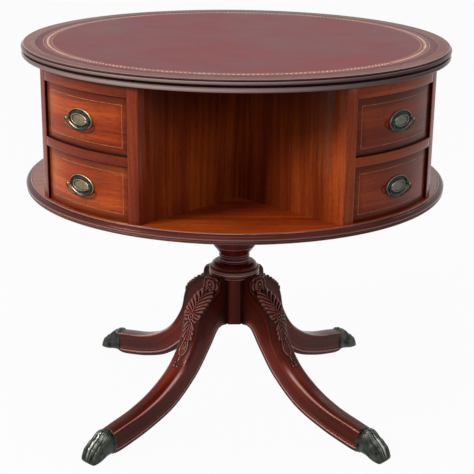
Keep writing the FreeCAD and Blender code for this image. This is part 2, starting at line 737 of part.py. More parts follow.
def pawSolid():
    # a wrist that swells from the collar, four toes, a flat sole and a socket for the leg's end
    wrist = skin([
        eightSided(value("dim.ankleReach - dim.pawCollarLap"), 0, value("dim.pawCollarBottom"),
                   value("dim.pawCollarTop"), value("dim.pawCollarHalf")),
        eightSided(value("dim.ankleReach + dim.pawWristLong"), 0, 0, value("dim.pawWristTop"),
                   value("dim.pawWristHalf")),
        eightSided(value("dim.ankleReach + dim.pawFootLong"), 0, 0, value("dim.pawFootTop"),
                   value("dim.pawFootHalf")),
    ])
    spread = value("dim.toeSpread")
    solid = wrist.fuse([toe(spread * (number / (toeCount - 1) - halfSide)) for number in range(toeCount)])
    piece = doc.addObject("Part::Feature", "paw")
    piece.Shape = solid.cut(leg.Shape).removeSplitter()
    return piece


doc.recompute()
paw = pawSolid()
for index, arm in enumerate(armNames):
    turn = quarterTurn * (index - 1)
    group(f"leg_{arm}", [leg], turn)
    group(f"paw_{arm}", [paw], turn)

# Iron plate under the column: a hub with four arms that reach under the legs
plateLow = "(dim.blockBottom - dim.legPlateThick)"
plateSpan = (plateLow, "dim.blockBottom")
plateLong = ("-dim.legPlateReach", "dim.legPlateReach")
plateWide = ("-dim.legPlateWide / 2", "dim.legPlateWide / 2")
fuse("leg_plate", [
    cylinder("legPlateHub", "dim.legPlateHub", plateLow, "dim.blockBottom"),
    block("legPlateLong", plateLong, plateWide, plateSpan),
    block("legPlateCross", plateWide, plateLong, plateSpan),
])

doc.recompute()

nodeNames = ["top_board", "leather_inset", "shelf", "swivel_plate", "core_box", "dust_boards",
             "pedestal_column", "bearer_block", "pivot_spindle", "spindle_nut", "leg_plate"]
for arm in armNames:
    nodeNames += [f"side_panels_{arm}", f"face_frame_{arm}", f"leg_{arm}", f"paw_{arm}"]
    for level in ("upper", "lower"):
        nodeNames += [f"{kind}_{arm}_{level}" for kind in ("drawer_face", "drawer_box", "pull_plate", "bail")]

faults = [item.Label for item in doc.Objects if "Invalid" in item.State or "Error" in item.State]
if faults:
    raise RuntimeError("failed objects: " + ", ".join(faults))
solids = {}
for name in nodeNames:
    shape = doc.getObjectsByLabel(name)[0].Shape
    if shape.isNull() or not shape.isValid() or not shape.Solids:
        raise RuntimeError("no sound shape for " + name)
    solids[name] = shape

os.makedirs("parts", exist_ok=True)
for name, shape in solids.items():
    shape.exportStep(f"parts/{name}.step")
print(len(solids), "nodes,", sum(len(shape.Solids) for shape in solids.values()), "solids")
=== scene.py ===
import bisect
import bpy
import bmesh
import math
from mathutils import Matrix, Vector


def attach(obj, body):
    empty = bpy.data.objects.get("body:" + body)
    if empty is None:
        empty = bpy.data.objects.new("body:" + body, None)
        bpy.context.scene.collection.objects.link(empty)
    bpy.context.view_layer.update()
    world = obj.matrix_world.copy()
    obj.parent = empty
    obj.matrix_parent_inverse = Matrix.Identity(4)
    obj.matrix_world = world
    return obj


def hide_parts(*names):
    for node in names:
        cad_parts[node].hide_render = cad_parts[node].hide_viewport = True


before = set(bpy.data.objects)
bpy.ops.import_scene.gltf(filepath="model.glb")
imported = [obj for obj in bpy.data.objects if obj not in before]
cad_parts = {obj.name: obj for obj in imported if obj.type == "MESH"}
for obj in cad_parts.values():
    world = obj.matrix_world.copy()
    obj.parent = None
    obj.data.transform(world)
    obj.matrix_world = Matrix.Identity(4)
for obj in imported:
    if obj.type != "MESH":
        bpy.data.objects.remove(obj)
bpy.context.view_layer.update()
scene = bpy.context.scene
mm = 0.001

# An arm is modelled once pointing along -Y and a leg once along +X, and each is copied round the axis
armTurns = {"front": 0.0, "right": 90.0, "back": 180.0, "left": 270.0}
legTurns = {"front": -90.0, "right": 0.0, "back": 90.0, "left": 180.0}
levels = ("upper", "lower")


# Small helpers for numbers, objects and shader trees
def clamped(value, low=0.0, high=1.0):
    return max(low, min(high, value))


def ramp(value, start, end):
    # nothing at the start, rising evenly to one at the end
    return clamped((value - start) / (end - start))


def between(first, second, share):
    return first + (second - first) * share


def linked(name, data):
    item = bpy.data.objects.new(name, data)
    scene.collection.objects.link(item)
    return item


def feed(tree, socket, value):
    # a socket is linked to another one or set to a plain value
    if isinstance(value, bpy.types.NodeSocket):
        tree.links.new(value, socket)
    else:
        socket.default_value = (*value, 1.0) if socket.type == "RGBA" else value


def addNode(tree, kind, inputs=None, **settings):
    item = tree.nodes.new("ShaderNode" + kind)
    for key, value in settings.items():
        setattr(item, key, value)
    for key, value in (inputs or {}).items():
        feed(tree, item.inputs[key], value)
    return item


def reckon(tree, operation, first, second=0.0, clamp=False):
    return addNode(tree, "Math", {0: first, 1: second}, operation=operation, use_clamp=clamp).outputs[0]


def times(tree, first, second, clamp=False):
    return reckon(tree, "MULTIPLY", first, second, clamp)


def plus(tree, first, second, clamp=False):
    return reckon(tree, "ADD", first, second, clamp)


def minus(tree, first, second):
    return reckon(tree, "SUBTRACT", first, second)


def most(tree, first, second):
    return reckon(tree, "MAXIMUM", first, second)


def vectorMath(tree, operation, first, second):
    return addNode(tree, "VectorMath", {0: first, 1: second}, operation=operation).outputs[0]


def spread(tree, value, low, high, bottom=0.0, top=1.0):
    ends = {"From Min": low, "From Max": high, "To Min": bottom, "To Max": top}
    return addNode(tree, "MapRange", {"Value": value, **ends}).outputs["Result"]


def mixed(tree, share, first, second):
    return addNode(tree, "Mix", {0: share, 6: first, 7: second}, data_type="RGBA").outputs[2]


def threeTones(tree, tone, dark, middle, light):
    lower = mixed(tree, spread(tree, tone, 0.0, 0.5), dark, middle)
    return mixed(tree, spread(tree, tone, 0.5, 1.0), lower, light)


def noise(tree, vector, scale, detail, **more):
    inputs = {"Vector": vector, "Scale": scale, "Detail": detail}
    return addNode(tree, "TexNoise", {**inputs, **more}).outputs["Fac"]


def stretched(tree, vector, along, across, detail, roughness=0.55):
    # noise whose scale along the vector's X differs from that across it
    scaled = vectorMath(tree, "MULTIPLY", vector, (along, across, across))
    return noise(tree, scaled, 1.0, detail, Roughness=roughness)


def placeOf(tree):
    return addNode(tree, "TexCoord").outputs["Object"]


def roundPlace(tree):
    # a place's height, its turn round the axis, its flat vector and its distance from the axis
    apart = addNode(tree, "SeparateXYZ", {0: placeOf(tree)}).outputs
    flat = addNode(tree, "CombineXYZ", {0: apart[0], 1: apart[1]}).outputs[0]
    reach = addNode(tree, "VectorMath", {0: flat}, operation="LENGTH").outputs["Value"]
    return apart[2], reckon(tree, "ARCTAN2", apart[1], apart[0]), flat, reach


def reliefOf(tree):
    return addNode(tree, "Attribute", attribute_name="relief").outputs["Fac"]


def newMaterial(name, **plain):
    # a material, its tree and its shader, with plain values on the shader's own sockets
    material = bpy.data.materials.new(name)
    material.use_nodes = True
    tree = material.node_tree
    shader = tree.nodes["Principled BSDF"]
    for key, value in plain.items():
        feed(tree, shader.inputs[key.replace("_", " ")], value)
    return material, tree, shader


def bumped(tree, shader, height, distance, strength):
    bump = addNode(tree, "Bump", {"Height": height, "Distance": distance, "Strength": strength})
    tree.links.new(bump.outputs["Normal"], shader.inputs["Normal"])


# Camera, floor and lights
cameraSetup = {
    "place": (1.603, -1.7115, 1.1384),
    "bearing": 43.0,
    "pitch": 18.386,
    "roll": 0.66,
    "lens": 92.66,
}


def makeCamera(setup):
    bearing, pitch, roll = (math.radians(setup[key]) for key in ("bearing", "pitch", "roll"))
    level = Vector((math.cos(bearing), math.sin(bearing), 0.0))
    ahead = Vector((-level.y, level.x, 0.0))
    forward = ahead * math.cos(pitch) - Vector((0.0, 0.0, math.sin(pitch)))
    right = level * math.cos(roll) + level.cross(forward) * math.sin(roll)
    turn = Matrix((right, right.cross(forward), -forward)).transposed().to_4x4()
    data = bpy.data.cameras.new("camera")
    data.lens = setup["lens"]
    data.sensor_width = 36.0
    data.clip_end = 50.0
    camera = linked("camera", data)
    camera.matrix_world = Matrix.Translation(setup["place"]) @ turn
    scene.camera = camera


makeCamera(cameraSetup)
scene.view_settings.view_transform = "Standard"

pureWhite = (1.0, 1.0, 1.0)
stageSetup = {
    "floorHalf": 14.0,
    "floorColour": (0.45, 0.45, 0.45),
    "floorRoughness": 0.9,
    "floorGloss": 0.1,
    "whiteShare": 0.96,
    "worldColour": (0.80, 0.80, 0.80),
    "worldStrength": 0.25,
}
lampSetup = {
    # name: place, aim, size, watts, colour
    "keyLamp": ((-0.9, -2.9, 2.3), (0.0, 0.0, 0.45), 0.9, 103.0, (1.0, 0.98, 0.95)),
    "fillLamp": ((3.0, -0.4, 1.9), (0.0, 0.0, 0.45), 1.0, 8.0, pureWhite),
    "backLamp": ((-0.4, 2.8, 3.0), (0.0, 0.0, 0.6), 1.2, 17.0, pureWhite),
    "glintLamp": ((1.35, -1.75, 2.5), (0.0, 0.0, 0.4), 0.3, 4.0, pureWhite),
    "sideGlint": ((2.7, 0.7, 1.2), (0.0, 0.0, 0.25), 0.4, 4.0, pureWhite),
    "topLamp": ((0.5, -0.5, 3.2), (0.0, 0.0, 0.7), 1.2, 38.0, pureWhite),
}


def whiteRays(tree):
    # one for the rays that meet a white background: those seen, mirrored or let through
    path = addNode(tree, "LightPath").outputs
    seen = most(tree, path["Is Camera Ray"], path["Is Glossy Ray"])
    return most(tree, seen, path["Is Transmission Ray"])


def makeStage(setup, lamps):
    world = bpy.data.worlds.new("studio")
    scene.world = world
    world.use_nodes = True
    tree = world.node_tree
    tree.nodes.clear()
    soft = addNode(tree, "Background", {"Color": setup["worldColour"], "Strength": setup["worldStrength"]})
    white = addNode(tree, "Background", {"Color": pureWhite})
    mix = addNode(tree, "MixShader", {0: whiteRays(tree), 1: soft.outputs[0], 2: white.outputs[0]})
    addNode(tree, "OutputWorld", {"Surface": mix.outputs[0]})

    bm = bmesh.new()
    bmesh.ops.create_grid(bm, x_segments=1, y_segments=1, size=setup["floorHalf"])
    mesh = bpy.data.meshes.new("floor")
    bm.to_mesh(mesh)
    bm.free()
    material, tree, shader = newMaterial("paleFloor", Base_Color=setup["floorColour"],
                                         Roughness=setup["floorRoughness"],
                                         Specular_IOR_Level=setup["floorGloss"])
    # the camera sees the floor nearly white, with the table's shadow left in it
    glow = addNode(tree, "Emission", {"Color": pureWhite})
    share = times(tree, whiteRays(tree), setup["whiteShare"])
    mix = addNode(tree, "MixShader", {0: share, 1: shader.outputs[0], 2: glow.outputs[0]})
    tree.links.new(mix.outputs[0], tree.nodes["Material Output"].inputs["Surface"])
    mesh.materials.append(material)
    linked("floor", mesh)

    for name, (place, aim, size, watts, colour) in lamps.items():
        data = bpy.data.lights.new(name, "AREA")
        data.shape = "SQUARE"
        data.size = size
        data.energy = watts
        data.color = colour
        lamp = linked(name, data)
        lamp.location = place
        lamp.rotation_euler = (Vector(aim) - Vector(place)).to_track_quat("-Z", "Y").to_euler()


makeStage(stageSetup, lampSetup)
print("camera, floor and lamps ready")


# Shader groups, built once and placed in each material with its own values
def newGroup(name, inputs, outputs):
    group = bpy.data.node_groups.new(name, "ShaderNodeTree")
    for way, sockets in (("INPUT", inputs), ("OUTPUT", outputs)):
        for label, kind in sockets.items():
            group.interface.new_socket(name=label, in_out=way, socket_type="NodeSocket" + kind)
    return group, group.nodes.new("NodeGroupInput").outputs, group.nodes.new("NodeGroupOutput").inputs


woodFigure = {
    # scale along and across the grain, per metre, then detail and roughness
    "ribbon": (1.4, 62.0, 1.0),
    "streak": (5.0, 170.0, 3.0, 0.65),
    "fleck": (90.0, 1500.0, 1.0),
    "cloud": (4.0, 7.0, 2.0),
    # noise level that gives the darkest and the lightest tone, and how far the tone swings
    "ribbonTone": (0.32, 0.68, -0.42, 0.42),
    "streakTone": (0.34, 0.66, -0.16, 0.16),
    "cloudTone": (0.34, 0.66, -0.2, 0.2),
    "warpScale": 2.2,
    "warpReach": 0.03,
    "poreTone": (0.56, 0.72),
    "poreShare": 0.62,
    "poreColour": (0.02, 0.005, 0.004),
    "glazeShadeShare": 0.92,
    "glazeShadeColour": (0.008, 0.003, 0.003),
    "wornSheenShare": 0.85,
    "wornSheenPower": 1.7,
    # relief at which the dark of a hollow, glaze with painted shade, and the light of a ridge, wear with
    # painted highlight, start and are full
    "hollowRelief": (-0.03, -0.42),
    "wornSheenRelief": (0.1, 1.0),
    "roughTone": (0.3, 0.7, 0.09, 0.17),
    "hollowRough": 0.3,
    "streakBump": 0.4,
}
metalFigure = {
    "cloudDetail": 4.0,
    "mottleTone": (0.35, 0.68),
    "rubbedSheenRelief": (0.05, 0.6),
    "rubbedSheenTone": (0.2, 0.5, 0.5, 1.0),
    "hollowRelief": (-0.05, -0.5),
    "hollowShare": 0.8,
    "roughTone": (0.3, 1.3, 0.32, 0.62),
    "hollowMetal": (0.0, 1.0, 1.0, 0.55),
    "grainScale": 900.0,
}


def makeWoodGroup(setup):
    # mahogany figure on a vector whose X runs along the grain, in metres
    tree, given, result = newGroup("mahoganyFigure", {
        "Vector": "Vector", "Dark": "Color", "Middle": "Color", "Light": "Color", "Worn": "Color",
        "Ribbon": "Float", "Relief": "Float",
    }, {"Color": "Color", "Roughness": "Float", "Height": "Float"})
    warp = addNode(tree, "TexNoise", {"Vector": given["Vector"], "Scale": setup["warpScale"], "Detail": 2.0})
    shift = vectorMath(tree, "SUBTRACT", warp.outputs["Color"], (0.5, 0.5, 0.5))
    bend = vectorMath(tree, "MULTIPLY", shift, (setup["warpReach"],) * 3)
    vector = vectorMath(tree, "ADD", given["Vector"], bend)
    ribbon, streak, fleck, cloud = (stretched(tree, vector, *setup[key])
                                    for key in ("ribbon", "streak", "fleck", "cloud"))
    broad = times(tree, spread(tree, ribbon, *setup["ribbonTone"]), given["Ribbon"])
    narrow = spread(tree, streak, *setup["streakTone"])
    patch = spread(tree, cloud, *setup["cloudTone"])
    tone = plus(tree, plus(tree, broad, narrow), plus(tree, patch, 0.5), clamp=True)
    body = threeTones(tree, tone, given["Dark"], given["Middle"], given["Light"])
    pore = spread(tree, fleck, *setup["poreTone"])
    pored = mixed(tree, times(tree, pore, setup["poreShare"]), body, setup["poreColour"])
    # painted shade with glaze darkens the hollows, and painted highlight with wear lightens the ridges
    hollow = spread(tree, given["Relief"], *setup["hollowRelief"])
    glazedShaded = mixed(tree, times(tree, hollow, setup["glazeShadeShare"]), pored, setup["glazeShadeColour"])
    ridge = reckon(tree, "POWER", spread(tree, given["Relief"], *setup["wornSheenRelief"]), setup["wornSheenPower"])
    feed(tree, result["Color"], mixed(tree, times(tree, ridge, setup["wornSheenShare"]), glazedShaded, given["Worn"]))
    rough = spread(tree, streak, *setup["roughTone"])
    feed(tree, result["Roughness"], plus(tree, rough, times(tree, hollow, setup["hollowRough"])))
    feed(tree, result["Height"], minus(tree, times(tree, streak, setup["streakBump"]), pore))
    return tree


def makeMetalGroup(setup):
    # mottled metal, dark in its hollows with patina and painted shade, and bright on its ridges with rubbing
    # and painted highlight
    tree, given, result = newGroup("rubbedMetal", {
        "Vector": "Vector", "Dark": "Color", "Middle": "Color", "Bright": "Color", "Relief": "Float",
        "Coarse": "Float",
    }, {"Color": "Color", "Roughness": "Float", "Metallic": "Float", "Height": "Float"})
    cloud = noise(tree, given["Vector"], given["Coarse"], setup["cloudDetail"])
    base = mixed(tree, spread(tree, cloud, *setup["mottleTone"]), given["Dark"], given["Middle"])
    ridge = spread(tree, given["Relief"], *setup["rubbedSheenRelief"])
    rubbedSheen = mixed(tree, times(tree, ridge, spread(tree, cloud, *setup["rubbedSheenTone"])), base, given["Bright"])
    hollow = spread(tree, given["Relief"], *setup["hollowRelief"])
    feed(tree, result["Color"], mixed(tree, times(tree, hollow, setup["hollowShare"]), rubbedSheen, given["Dark"]))
    feed(tree, result["Roughness"], spread(tree, plus(tree, cloud, hollow), *setup["roughTone"]))
    feed(tree, result["Metallic"], spread(tree, hollow, *setup["hollowMetal"]))
    feed(tree, result["Height"], noise(tree, given["Vector"], setup["grainScale"], 2.0))
    return tree


woodGroup = makeWoodGroup(woodFigure)
metalGroup = makeMetalGroup(metalFigure)

# Polished mahogany: grain, dark, middle and light tone, strength of the ribbon figure and polish
woodTones = {
    "drawerMahogany": ("uv", (0.16, 0.015, 0.005), (0.34, 0.048, 0.008), (0.60, 0.125, 0.016), 0.4, "bright"),
    # the right arm's drawers get a darker copy, painted shade, and its frame a lighter copy, painted light
    "shadedMahogany": ("uv", (0.11, 0.012, 0.005), (0.23, 0.027, 0.007), (0.38, 0.064, 0.011), 0.4, "bright"),
    "frameMahogany": ("uv", (0.09, 0.011, 0.006), (0.18, 0.026, 0.009), (0.31, 0.054, 0.014), 0.4, "bright"),
    "paintedLightFrameMahogany": ("uv", (0.15, 0.018, 0.006), (0.29, 0.044, 0.009), (0.45, 0.088, 0.016), 0.4, "bright"),
    "bayMahogany": ("upright", (0.10, 0.011, 0.004), (0.20, 0.031, 0.006), (0.36, 0.074, 0.011),
                    0.5, "bright"),
    "shelfMahogany": ("across", (0.15, 0.015, 0.003), (0.27, 0.036, 0.005), (0.40, 0.075, 0.009),
                    0.5, "bright"),
    "rimMahogany": ("ring", (0.11, 0.044, 0.035), (0.17, 0.072, 0.060), (0.23, 0.105, 0.09), 0.5, "flat"),
    "edgeMahogany": ("ring", (0.018, 0.005, 0.006), (0.036, 0.009, 0.010), (0.07, 0.020, 0.019), 0.5, "edge"),
    "lowEdgeMahogany": ("ring", (0.032, 0.006, 0.005), (0.065, 0.012, 0.009), (0.12, 0.027, 0.02),
                    0.5, "lowEdge"),
    "pedestalMahogany": ("upright", (0.03, 0.003, 0.002), (0.085, 0.008, 0.005), (0.18, 0.021, 0.009),
                    0.4, "deep"),
    "legMahogany": ("uv", (0.045, 0.004, 0.002), (0.14, 0.013, 0.004), (0.28, 0.034, 0.009), 0.4, "deep"),
}
# strength and tint of each polish's gloss, and the colour of its ridges, worn and with painted highlight
polishes = {
    "bright": (0.14, (1.0, 0.72, 0.62), (0.5, 0.3, 0.22)),
    "deep": (0.17, (1.0, 0.45, 0.38), (0.66, 0.43, 0.39)),
    "edge": (0.05, (0.9, 0.6, 0.58), (0.50, 0.37, 0.34)),
    "lowEdge": (0.10, (1.0, 0.5, 0.44), (0.42, 0.23, 0.19)),
    "flat": (0.004, (1.0, 0.6, 0.55), (0.5, 0.36, 0.33)),
}
# how the bay's grain stands upright and the shelf's runs across, as turns of the place
grainTurns = {
    "upright": (0.0, math.pi / 2, 0.0),
    "across": (0.0, 0.0, math.radians(-43.0)),
    "plain": (0.0, 0.0, 0.0),
}
ringReach = 0.41
# painted shade of the top board's shadow: the bays darken high up under the top, from and to this height, by
# this share
bayShade = (0.63, 0.735, 0.0, 0.7)
bayShadeColour = (0.03, 0.006, 0.003)


def grainVector(tree, grain):
    # a vector whose X runs along the grain: a direction, the piece's own UV map, or round the axis
    if grain == "uv":
        return addNode(tree, "UVMap", uv_map="grain").outputs["UV"]
    if grain == "ring":
        level, turn, _, reach = roundPlace(tree)
        return addNode(tree, "CombineXYZ", {0: times(tree, turn, ringReach), 1: reach, 2: level}).outputs[0]
    return addNode(tree, "Mapping", {"Vector": placeOf(tree), "Rotation": grainTurns[grain]}).outputs[0]


def figureOf(tree, grain, dark, middle, light, ribbon, **more):
    tones = {"Dark": dark, "Middle": middle, "Light": light, "Ribbon": ribbon}
    inputs = {"Vector": grainVector(tree, grain), **tones, **more}
    return addNode(tree, "Group", inputs, node_tree=woodGroup).outputs


def makeWood(name, grain, dark, middle, light, ribbon, finish):
    gloss, tint, wearAndLight = polishes[finish]
    material, tree, shader = newMaterial(name, Specular_IOR_Level=gloss, Specular_Tint=tint)
    figure = figureOf(tree, grain, dark, middle, light, ribbon, Relief=reliefOf(tree), Worn=wearAndLight)
    colour = figure["Color"]
    # painted shade: the bay walls darken towards the top, where the top board's shadow falls
    if name == "bayMahogany":
        level = addNode(tree, "SeparateXYZ", {0: placeOf(tree)}).outputs[2]
        colour = mixed(tree, spread(tree, level, *bayShade), colour, bayShadeColour)
    feed(tree, shader.inputs["Base Color"], colour)
    feed(tree, shader.inputs["Roughness"], figure["Roughness"])
    bumped(tree, shader, figure["Height"], 0.00005, 0.5)
    return material


def makeSecondaryWood():
    # unpolished drawer linings and hidden boards
    material, tree, shader = newMaterial("secondaryWood", Specular_IOR_Level=0.3)
    figure = figureOf(tree, "plain", (0.20, 0.105, 0.045), (0.36, 0.21, 0.1), (0.5, 0.32, 0.17), 0.7)
    feed(tree, shader.inputs["Base Color"], figure["Color"])
    feed(tree, shader.inputs["Roughness"], spread(tree, figure["Roughness"], 0.2, 0.4, 0.55, 0.7))
    bumped(tree, shader, figure["Height"], 0.0002, 0.6)
    return material


# Antique brass, steel and iron: dark, middle and bright tone, size of the mottling
metalTones = {
    "antiqueBrass": ((0.012, 0.014, 0.013), (0.07, 0.07, 0.055), (0.68, 0.53, 0.31), 120.0),
    # a darker copy for the right arm's pulls: painted shade
    "shadedBrass": ((0.009, 0.011, 0.011), (0.045, 0.05, 0.045), (0.30, 0.29, 0.23), 120.0),
    "pawBrass": ((0.012, 0.014, 0.012), (0.065, 0.07, 0.06), (0.34, 0.36, 0.32), 70.0),
    "steel": ((0.3, 0.3, 0.3), (0.5, 0.5, 0.5), (0.7, 0.7, 0.7), 60.0),
    "blackIron": ((0.02, 0.02, 0.02), (0.05, 0.05, 0.05), (0.12, 0.12, 0.12), 80.0),
}


def makeMetal(name, dark, middle, bright, coarse):
    material, tree, shader = newMaterial(name)
    inputs = {"Vector": placeOf(tree), "Dark": dark, "Middle": middle, "Bright": bright, "Coarse": coarse}
    surface = addNode(tree, "Group", {**inputs, "Relief": reliefOf(tree)}, node_tree=metalGroup).outputs
    for key in ("Color", "Roughness", "Metallic"):
        feed(tree, shader.inputs["Base Color" if key == "Color" else key], surface[key])
    bumped(tree, shader, surface["Height"], 0.0001, 0.4)
    return material


def makeInlay():
    # pale string inlay, yellowed under the polish
    gloss, tint, _ = polishes["bright"]
    material, tree, shader = newMaterial("inlayLine", Specular_IOR_Level=gloss, Specular_Tint=tint)
    shade = noise(tree, placeOf(tree), 160.0, 3.0)
    colour = mixed(tree, spread(tree, shade, 0.35, 0.65), (0.19, 0.075, 0.03), (0.38, 0.18, 0.075))
    feed(tree, shader.inputs["Base Color"], colour)
    feed(tree, shader.inputs["Roughness"], spread(tree, shade, 0.3, 0.7, 0.28, 0.42))
    return material


# Leather top: oxblood with clouded wear, fine grain and a gilt tooled border near the rim
leatherSetup = {
    "dark": (0.070, 0.009, 0.012),
    "middle": (0.118, 0.015, 0.018),
    "light": (0.165, 0.024, 0.024),
    "gilt": (1.0, 0.70, 0.46),
    "joint": (0.012, 0.004, 0.004),
    "jointFrom": 0.3792,
    "jointTo": 0.3804,
    "outerLine": 0.3670,
    "innerLine": 0.3515,
    "chainMiddle": 0.3592,
    "chainHalf": 0.0036,
    "lineHalf": 0.0009,
    "dotHalf": 0.0021,
    "lineGilt": 0.3,
    "curlGilt": 0.34,
    "giltMetal": 0.35,
    "links": 280.0,
    "gloss": 0.07,
}


def makeLeather(setup):
    material, tree, shader = newMaterial("toolingLeather", Specular_IOR_Level=setup["gloss"])
    place = placeOf(tree)
    _, turn, flat, reach = roundPlace(tree)
    cloud = noise(tree, flat, 5.0, 5.0, Roughness=0.6, Distortion=0.4)
    brushed = vectorMath(tree, "MULTIPLY", flat, (9.0, 26.0, 1.0))
    brush = spread(tree, noise(tree, brushed, 1.0, 3.0, Roughness=0.55), 0.3, 0.7, -0.1, 0.1)
    tone = plus(tree, spread(tree, cloud, 0.3, 0.7, 0.2, 0.8), brush, clamp=True)
    hide = threeTones(tree, tone, setup["dark"], setup["middle"], setup["light"])
    outside = spread(tree, reach, setup["outerLine"] - 0.02, 0.382)
    hide = mixed(tree, times(tree, outside, 0.45), hide, setup["dark"])
    joint = spread(tree, reach, setup["jointFrom"], setup["jointTo"])
    hide = mixed(tree, times(tree, joint, 0.8), hide, setup["joint"])

    def lineAt(distance, half, gilt):
        # this much gilt on a line of this half width and none beside it
        return times(tree, spread(tree, reckon(tree, "ABSOLUTE", distance), half, half * 0.55), gilt)

    lines = [lineAt(minus(tree, reach, setup[key]), setup["lineHalf"], setup["lineGilt"])
             for key in ("outerLine", "innerLine")]
    # two waves cross each other in a chain, with a dot in each link
    wave = times(tree, reckon(tree, "SINE", times(tree, turn, setup["links"] / 2)), setup["chainHalf"])
    fromMiddle = minus(tree, reach, setup["chainMiddle"])
    for side in ("ADD", "SUBTRACT"):
        lines.append(lineAt(reckon(tree, side, fromMiddle, wave), setup["lineHalf"], setup["curlGilt"]))
    dots = spread(tree, reckon(tree, "COSINE", times(tree, turn, setup["links"])), 0.35, -0.05, 1.0, 0.0)
    lines.append(lineAt(fromMiddle, setup["dotHalf"], dots))
    tooled = lines[0]
    for line in lines[1:]:
        tooled = most(tree, tooled, line)
    rub = noise(tree, place, 60.0, 3.0)
    gilding = times(tree, tooled, spread(tree, rub, 0.3, 0.5, 0.45, 1.0), clamp=True)
    feed(tree, shader.inputs["Base Color"], mixed(tree, gilding, hide, setup["gilt"]))
    feed(tree, shader.inputs["Metallic"], times(tree, gilding, setup["giltMetal"]))
    rough = plus(tree, spread(tree, cloud, 0.3, 0.7, 0.38, 0.5), times(tree, gilding, 0.05))
    feed(tree, shader.inputs["Roughness"], rough)
    grain = addNode(tree, "TexVoronoi", {"Vector": place, "Scale": 700.0}).outputs["Distance"]
    bumped(tree, shader, minus(tree, times(tree, grain, 0.5), tooled), 0.00016, 0.7)
    return material


materials = {name: makeWood(name, *tones) for name, tones in woodTones.items()}
materials.update((name, makeMetal(name, *tones)) for name, tones in metalTones.items())
materials["secondaryWood"] = makeSecondaryWood()
materials["inlayLine"] = makeInlay()
materials["toolingLeather"] = makeLeather(leatherSetup)
print("materials ready:", len(materials))


# Tools that several pieces use
def addPiece(mesh, name, node, body, finishes):
    mesh.name = name
    piece = linked(name, mesh)
    for finish in finishes:
        mesh.materials.append(materials[finish])
    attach(piece, body)
    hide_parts(node)


def copyRound(mesh, name, node, turns, body, finishes, level="", lift=0.0):
    # a copy on each arm; a pair of finishes is the right arm's, a copy toned with painted light and shade for
    # the shade it stands in, and the others'
    for arm, turn in turns.items():
        key = f"{arm}_{level}" if level else arm
        chosen = [finish if isinstance(finish, str) else finish[arm != "right"] for finish in finishes]
        copy = mesh.copy()
        copy.transform(Matrix.Translation((0, 0, lift * mm)) @ Matrix.Rotation(math.radians(turn), 4, "Z"))
        addPiece(copy, f"{name}_{key}", f"{node}_{key}", body.format(key), chosen)


def toMesh(bm, name, sharpFrom=38.0):
    # mesh in metres from a bmesh drawn in millimetres
    bmesh.ops.scale(bm, vec=(mm, mm, mm), verts=bm.verts)
    mesh = bpy.data.meshes.new(name)
    bm.to_mesh(mesh)
    bm.free()
    mesh.polygons.foreach_set("use_smooth", [True] * len(mesh.polygons))
    mesh.set_sharp_from_angle(angle=math.radians(sharpFrom))
    return mesh


def arcTo(start, end, bulge, steps):
    # points between two ends on an arc that bulges to the right of the way by this much
    start, end = Vector(start), Vector(end)
    chord = end - start
    half = chord.length / 2
    radius = (half ** 2 + bulge ** 2) / (2 * bulge)
    right = Vector((chord.y, -chord.x)).normalized()
    centre = (start + end) / 2 + right * (bulge - radius)
    sweep = 2 * math.atan2(half, radius - bulge) - (2 * math.pi if bulge < 0 else 0)
    return [centre + Matrix.Rotation(sweep * step / steps, 2) @ (start - centre) for step in range(1, steps)]


def profileRelief(points):
    # how sharply each point of a section turns: above zero on beads and edges, below zero in grooves
    found = {}
    for before, here, after in zip(points, points[1:], points[2:]):
        first, second = here - before, after - here
        turn = math.atan2(first.cross(second), first.dot(second))
        sharp = math.degrees(turn) / max(0.4, min(first.length, second.length)) / 42
        found[(round(here.x, 2), round(here.y, 2))] = clamped(sharp, -1.0)
    return found


def heldEnds(points, longFrom=3.0, reach=0.7):
    # a point more near both ends of each long line, so that the painted highlight and shade stay at the edge
    held = [points[0]]
    for here, after in zip(points, points[1:]):
        way = after - here
        if way.length > longFrom:
            held += [here + way.normalized() * reach, after - way.normalized() * reach]
        held.append(after)
    return held


def layerOf(layers, name):
    return layers.get(name) or layers.new(name)


def lathe(bm, profile, steps):
    # spins a half section round Z; an entry is (r, z) or (r, z, bulge) where an arc runs on to the next
    points = []
    for index, entry in enumerate(profile):
        points.append(Vector(entry[:2]))
        if len(entry) > 2:
            points += arcTo(entry[:2], profile[index + 1][:2], entry[2], 7)
    points = heldEnds(points)
    old = set(bm.verts)
    relief = layerOf(bm.verts.layers.float, "relief")
    made = [bm.verts.new((point.x, 0.0, point.y)) for point in points]
    edges = [bm.edges.new(pair) for pair in zip(made, made[1:])]
    bmesh.ops.spin(bm, geom=made + edges, cent=(0, 0, 0), axis=(0, 0, 1), angle=2 * math.pi, steps=steps,
                   use_merge=True, use_normal_flip=False)
    # painted highlight on beads and edges, painted shade in grooves
    wearAndLight = profileRelief(points)
    for vert in bm.verts:
        if vert not in old:
            vert[relief] = wearAndLight.get((round(vert.co.xy.length, 2), round(vert.co.z, 2)), 0.0)


def tidy(bm, distance=1e-4):
    bmesh.ops.remove_doubles(bm, verts=bm.verts, dist=distance)
    bmesh.ops.dissolve_degenerate(bm, dist=distance, edges=bm.edges)
    bmesh.ops.recalc_face_normals(bm, faces=bm.faces)


def closeEnds(bm):
    tidy(bm)
    bmesh.ops.holes_fill(bm, edges=[edge for edge in bm.edges if edge.is_boundary], sides=0)
    bmesh.ops.recalc_face_normals(bm, faces=bm.faces)


